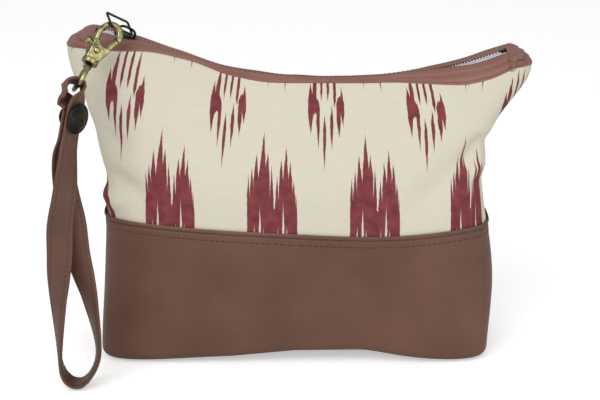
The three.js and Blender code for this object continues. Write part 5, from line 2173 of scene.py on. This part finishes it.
@dataclass
class WristStrap:
    """Leather band: a loop with a half turn in it, over the swivel eye's bar and riveted below it."""

    origin: Vector
    bar_line: Vector
    bar_side: Vector
    ground: float = 0.0006
    width: float = 0.0155
    thick: float = 0.0026
    bar_clear: float = 0.0036
    gap: float = 0.0003
    drift: float = -0.008
    sway: float = 0.018
    round: float = 0.0208
    spread: float = 0.023
    apart: float = 0.008
    rivet_degrees: float = 30.0
    bulge: float = 0.0054
    rise: float = 0.0038
    meet: float = 0.0115
    rivet_drop: float = 0.0175
    rivet_cap: float = 0.0185
    stitch_inset: float = 0.0026
    stitch_pitch: float = 0.0029
    stitch_shown: float = 0.66
    thread: float = 0.00055
    crease: float = 0.00035

    def __post_init__(self) -> None:
        """Draws the curves of the two legs by how far they have come down."""
        side = self.bar_side - self.bar_line * self.bar_side.dot(self.bar_line)
        self.bar_side = side.normalized()
        self.bar_top = self.bar_side.cross(self.bar_line)
        self.drop = self.origin.z - self.thick / 2 - self.ground
        self.turn = self.drop - self.round
        angle = math.radians(self.rivet_degrees)
        pitch = Vector((math.cos(angle), -math.sin(angle), 0.0)) * (self.thick + self.gap)
        top = self.bar_side * 2 * self.bulge
        leg = self.bar_side * self.bar_clear - pitch / 2
        start = self.rivet_drop + 0.56 * self.rivet_cap

        def hang(share: float) -> float:
            """A share of the way from below the rivet to the turn at the bottom."""
            return mix(start, self.turn, share)

        d, s, wide, fore = self.drift, self.sway, self.spread, self.apart
        self.pitch = pitch
        self.mid_x = Curve([
            (0, leg.x), (self.meet, 0.24 * d), (hang(0), 0.67 * d), (hang(0.085), 0.98 * d),
            (hang(0.27), d), (hang(0.54), 0.9 * d), (hang(0.76), 0.6 * d), (self.turn, 0.36 * d),
            (self.drop, 0.55 * d),
        ])
        self.mid_y = Curve([
            (0, leg.y), (self.meet, -0.08 * s), (hang(0), -0.22 * s), (hang(0.35), -0.6 * s),
            (hang(0.75), -0.87 * s), (self.drop, -s),
        ])
        self.gap_x = Curve([
            (0, top.x), (0.5 * self.meet, top.x), (self.meet, pitch.x), (hang(0), pitch.x),
            (hang(0.085), 0.18 * wide), (hang(0.26), 0.0), (hang(0.4), -0.28 * wide),
            (hang(0.54), -0.41 * wide), (hang(0.65), -0.61 * wide), (hang(0.755), -0.79 * wide),
            (self.turn, -wide),
        ])
        self.gap_y = Curve([
            (0, top.y), (self.meet, pitch.y), (hang(0), pitch.y), (hang(0.085), -0.5 * fore),
            (hang(0.26), -0.9 * fore), (hang(0.4), -fore), (hang(0.54), -fore),
            (hang(0.755), -0.6 * fore), (self.turn, -0.25 * fore),
        ])
        turns = ((0.09, 0.03), (0.26, 0.2), (0.54, 0.45), (0.65, 0.57), (0.755, 0.7), (1.0, 0.91))
        half = math.pi
        self.turned = Curve([
            (0, angle), (hang(0), angle), *((hang(at), mix(angle, half, share)) for at, share in turns),
            (self.drop, half),
        ])

    def leg(self, hand: Hand, drop: float) -> tuple[Vector, Vector]:
        """A place on a leg and the line across the band there.

        Args:
            hand: The leg that starts on this side of the bar.
            drop: How far the leg has come down.

        Returns:
            The place and the line.
        """
        angle = self.turned(drop)
        flat = Vector((-math.sin(angle), -math.cos(angle), 0.0))
        across = flat.lerp(-self.bar_line, 1 - smooth(drop, 0.0, 0.8 * self.meet)).normalized()
        spread, fore = self.gap_x(drop), self.gap_y(drop)
        if drop > self.turn:
            share = (drop - self.turn) / (self.drop - self.turn)
            close = math.sqrt(max(1 - share * share, 0.0))
            spread, fore = spread * close, fore * close
        place = Vector((
            self.mid_x(drop) + hand.value * spread / 2, self.mid_y(drop) + hand.value * fore / 2, -drop,
        ))
        if drop < self.meet:
            place += Vector(((self.pitch.x - spread) / 2, (self.pitch.y - fore) / 2, 0.0))
        return place, across

    def path(self) -> tuple[list[Vector], list[Vector]]:
        """The band's middle line right round the loop, with the line across it at each place.

        Returns:
            The places and the lines.
        """
        steps, turns = 74, 14
        drops = [self.turn * k / steps for k in range(1, steps)]
        drops += [mix(self.turn, self.drop, math.sin(k / turns * math.pi / 2)) for k in range(turns)]
        stations = []
        for k in range(9):
            angle = math.pi * (1 - k / 8)
            over = self.bar_side * (self.bar_clear - self.bulge * (1 - math.cos(angle)))
            stations.append((over + self.bar_top * self.rise * math.sin(angle), -self.bar_line))
        stations += [self.leg(Hand.RIGHT, drop) for drop in drops]
        stations.append(self.leg(Hand.RIGHT, self.drop))
        stations += [self.leg(Hand.LEFT, drop) for drop in reversed(drops)]
        return [self.origin + place for place, _ in stations], [across for _, across in stations]

    def section(self) -> list[Pair]:
        """The band's section: a filled middle between two stitched channels and rounded edges.

        Returns:
            The corners in order.
        """
        half, steps = self.width / 2, 22

        def height(at: float) -> float:
            """Half the thickness at a distance from the middle."""
            edge = math.sqrt(max(1 - (abs(at) / half) ** 7, 0.0))
            channel = 0.16 * bump(half - abs(at), self.stitch_inset, 0.0007)
            return self.thick / 2 * (edge * mix(1.0, 0.86, smooth(abs(at), 0.4 * half, half)) - channel)

        line = [-half * math.cos(math.pi * k / steps) for k in range(steps + 1)]
        return [(at, height(at)) for at in reversed(line)] + [(at, -height(at)) for at in line[1:-1]]

    def stitch_rows(self, frames: Sequence[Matrix]) -> Mesh:
        """Two rows of stitches on each face.

        Args:
            frames: Frames round the loop.

        Returns:
            The mesh.
        """
        places = [m.translation for m in frames]
        lengths = [0.0]
        for a, b in zip(places, places[1:]):
            lengths.append(lengths[-1] + (b - a).length)
        count = round(lengths[-1] / self.stitch_pitch)
        rows = []
        off = self.width / 2 - self.stitch_inset
        for at in (-off, off):
            for face in (-1, 1):
                points, outs, k = [], [], 0
                for n in range(count + 1):
                    target = lengths[-1] * n / count
                    while k < len(lengths) - 2 and lengths[k + 1] < target:
                        k += 1
                    share = (target - lengths[k]) / (lengths[k + 1] - lengths[k])
                    local = Vector((at, face * self.thick * 0.40, 0.0))
                    points.append((frames[k] @ local).lerp(frames[k + 1] @ local, share))
                    outs.append(frames[k].to_3x3() @ Vector((0, face, 0)))
                rows.append(stitches(points, outs, self.stitch_shown, self.thread))
        return joined(rows)

    def build(self, finishes: Finishes) -> None:
        """Makes the band and its stitching.

        Args:
            finishes: The materials.
        """
        points, across = self.path()
        frames = path_frames(points, across, closed=True)
        bm = sweep(self.section(), frames, closed=True)
        for vert in bm.verts:
            low = 1 - smooth(vert.co.z, 0.004, 0.030)
            crease = noise.noise(Vector((vert.co.x * 260, vert.co.y * 420, vert.co.z * 330)))
            vert.co += vert.normal * (self.crease * low * crease)
        piece("strap_band", bm, finishes.strap, "strap", Slot.LEATHER, ["wrist_strap"])
        log.info("loop of %.0f mm", 1000 * sum((b - a).length for a, b in zip(points, points[1:])))
        piece("strap_stitching", self.stitch_rows(frames), finishes.thread, "strap", Slot.LEATHER)


@dataclass
class Studio:
    """Camera at the photograph's angle, plain soft light and a pale floor."""

    aim: Vector = field(default_factory=lambda: Vector((0.0018, -0.038, 0.1063)))
    elevation: float = 18.0
    distance: float = 1.0
    lens: float = 100.0
    sensor: float = 36.0
    floor_drop: float = 0.0004
    floor_half: float = 6.0
    floor_glow: float = 0.46
    world_light: float = 0.55
    world_shine: float = 0.62

    def camera(self) -> None:
        """Places the camera."""
        data = bpy.data.cameras.new("camera")
        data.lens = self.lens
        data.sensor_width = self.sensor
        data.clip_start = 0.05
        obj = bpy.data.objects.new("camera", data)
        tilt = math.radians(self.elevation)
        obj.location = self.aim + Vector((0.0, -math.cos(tilt), math.sin(tilt))) * self.distance
        obj.rotation_euler = (self.aim - obj.location).to_track_quat("-Z", "Y").to_euler()
        bpy.context.scene.collection.objects.link(obj)
        bpy.context.scene.camera = obj

    def lamp(self, name: str, place: tuple[float, float, float], size: float, power: float) -> None:
        """Places a square soft lamp that faces the pouch.

        Args:
            name: The lamp's name.
            place: Where it stands.
            size: Length of its sides.
            power: Watts.
        """
        data = bpy.data.lights.new(name, "AREA")
        data.size = size
        data.energy = power
        obj = bpy.data.objects.new(name, data)
        obj.location = place
        obj.rotation_euler = (self.aim - obj.location).to_track_quat("-Z", "Y").to_euler()
        bpy.context.scene.collection.objects.link(obj)

    def world(self) -> None:
        """White to the camera and in reflections, softer as light."""
        world = bpy.data.worlds.new("studio")
        bpy.context.scene.world = world
        world.use_nodes = True
        graph = Graph(world.node_tree)
        world.node_tree.nodes.clear()
        ray = graph.node("ShaderNodeLightPath")
        seen = graph.math("MAXIMUM", ray.outputs["Is Camera Ray"], ray.outputs["Is Transmission Ray"])
        shiny = graph.math("MULTIPLY", ray.outputs["Is Glossy Ray"], self.world_shine)
        shown = graph.math("MAXIMUM", seen, shiny)
        light = graph.node("ShaderNodeBackground")
        graph.feed(light.inputs["Strength"], graph.math("MAXIMUM", shown, self.world_light))
        graph.feed(graph.node("ShaderNodeOutputWorld").inputs[0], light.outputs[0])

    def floor(self) -> None:
        """A wide pale floor that keeps the pouch's shadow."""
        bm = bmesh.new()
        bmesh.ops.create_grid(bm, x_segments=1, y_segments=1, size=self.floor_half)
        mesh = bpy.data.meshes.new("floor")
        bm.to_mesh(mesh)
        bm.free()
        obj = bpy.data.objects.new("floor", mesh)
        obj.location.z = -self.floor_drop
        bpy.context.scene.collection.objects.link(obj)
        graph, shader, material = new_material("floor")
        shader.inputs["Base Color"].default_value = (0.93, 0.93, 0.93, 1.0)
        shader.inputs["Roughness"].default_value = 0.9
        shader.inputs["Emission Color"].default_value = (1.0, 1.0, 1.0, 1.0)
        ray = graph.node("ShaderNodeLightPath")
        shown = graph.math("MULTIPLY", ray.outputs["Is Camera Ray"], self.floor_glow)
        graph.feed(shader.inputs["Emission Strength"], shown)
        mesh.materials.append(material)

    def build(self) -> None:
        """Makes the studio."""
        bpy.context.scene.view_settings.view_transform = "Standard"
        self.camera()
        self.lamp("key", (-0.55, -1.15, 1.25), 1.1, 13.0)
        self.lamp("fill", (0.95, -1.0, 0.55), 1.2, 5.0)
        self.world()
        self.floor()


FRONT_FOLDS = (
    Fold((0.113, 0.141), (0.102, 0.125), 0.005, -0.0038),
    Fold((0.110, 0.116), (0.117, 0.133), 0.005, 0.0032),
    Fold((0.108, 0.132), (0.070, 0.100), 0.010, -0.0036),
    Fold((-0.117, 0.106), (-0.108, 0.098), 0.006, 0.0040),
    Fold((-0.115, 0.119), (-0.092, 0.106), 0.007, -0.0036),
    Fold((-0.124, 0.150), (-0.100, 0.134), 0.009, -0.0030),
    Fold((-0.131, 0.172), (-0.110, 0.150), 0.010, -0.0022),
    Fold((-0.075, 0.160), (-0.030, 0.145), 0.016, 0.0016),
    Fold((0.045, 0.150), (0.085, 0.140), 0.018, 0.0018),
    Fold((-0.060, 0.010), (-0.050, 0.060), 0.016, -0.0012),
    Fold((0.060, 0.008), (0.052, 0.055), 0.018, -0.0014),
    Fold((0.010, 0.012), (0.012, 0.050), 0.020, 0.0012),
)
BACK_FOLDS = (
    Fold((0.105, 0.130), (0.080, 0.112), 0.008, -0.0024),
    Fold((-0.110, 0.125), (-0.085, 0.108), 0.009, -0.0026),
    Fold((-0.040, 0.150), (0.045, 0.140), 0.020, 0.0018),
    Fold((-0.050, 0.010), (-0.045, 0.060), 0.018, -0.0014),
    Fold((0.055, 0.010), (0.050, 0.055), 0.018, 0.0012),
)


def main() -> None:
    """Builds the studio, the finishes and each sub-assembly in turn."""
    Studio().build()
    finishes = Finishes()
    form = PouchForm(folds={Side.FRONT: FRONT_FOLDS, Side.BACK: BACK_FOLDS})
    LeatherBody(form).build(finishes)
    PrintedCloth(form).build(finishes)
    Lining(form).build(finishes)
    line = ZipLine()
    ZipGusset(form, line).build(finishes)
    ZipTapes(line).build(finishes)
    Hardware().build(finishes)
    SwivelClasp(clasp_axes()).build(finishes)
    WristStrap(*joint("strap_swing"), bar_side=Vector((1.0, 0.0, 0.0))).build(finishes)


if __name__ == "__main__":
    main()
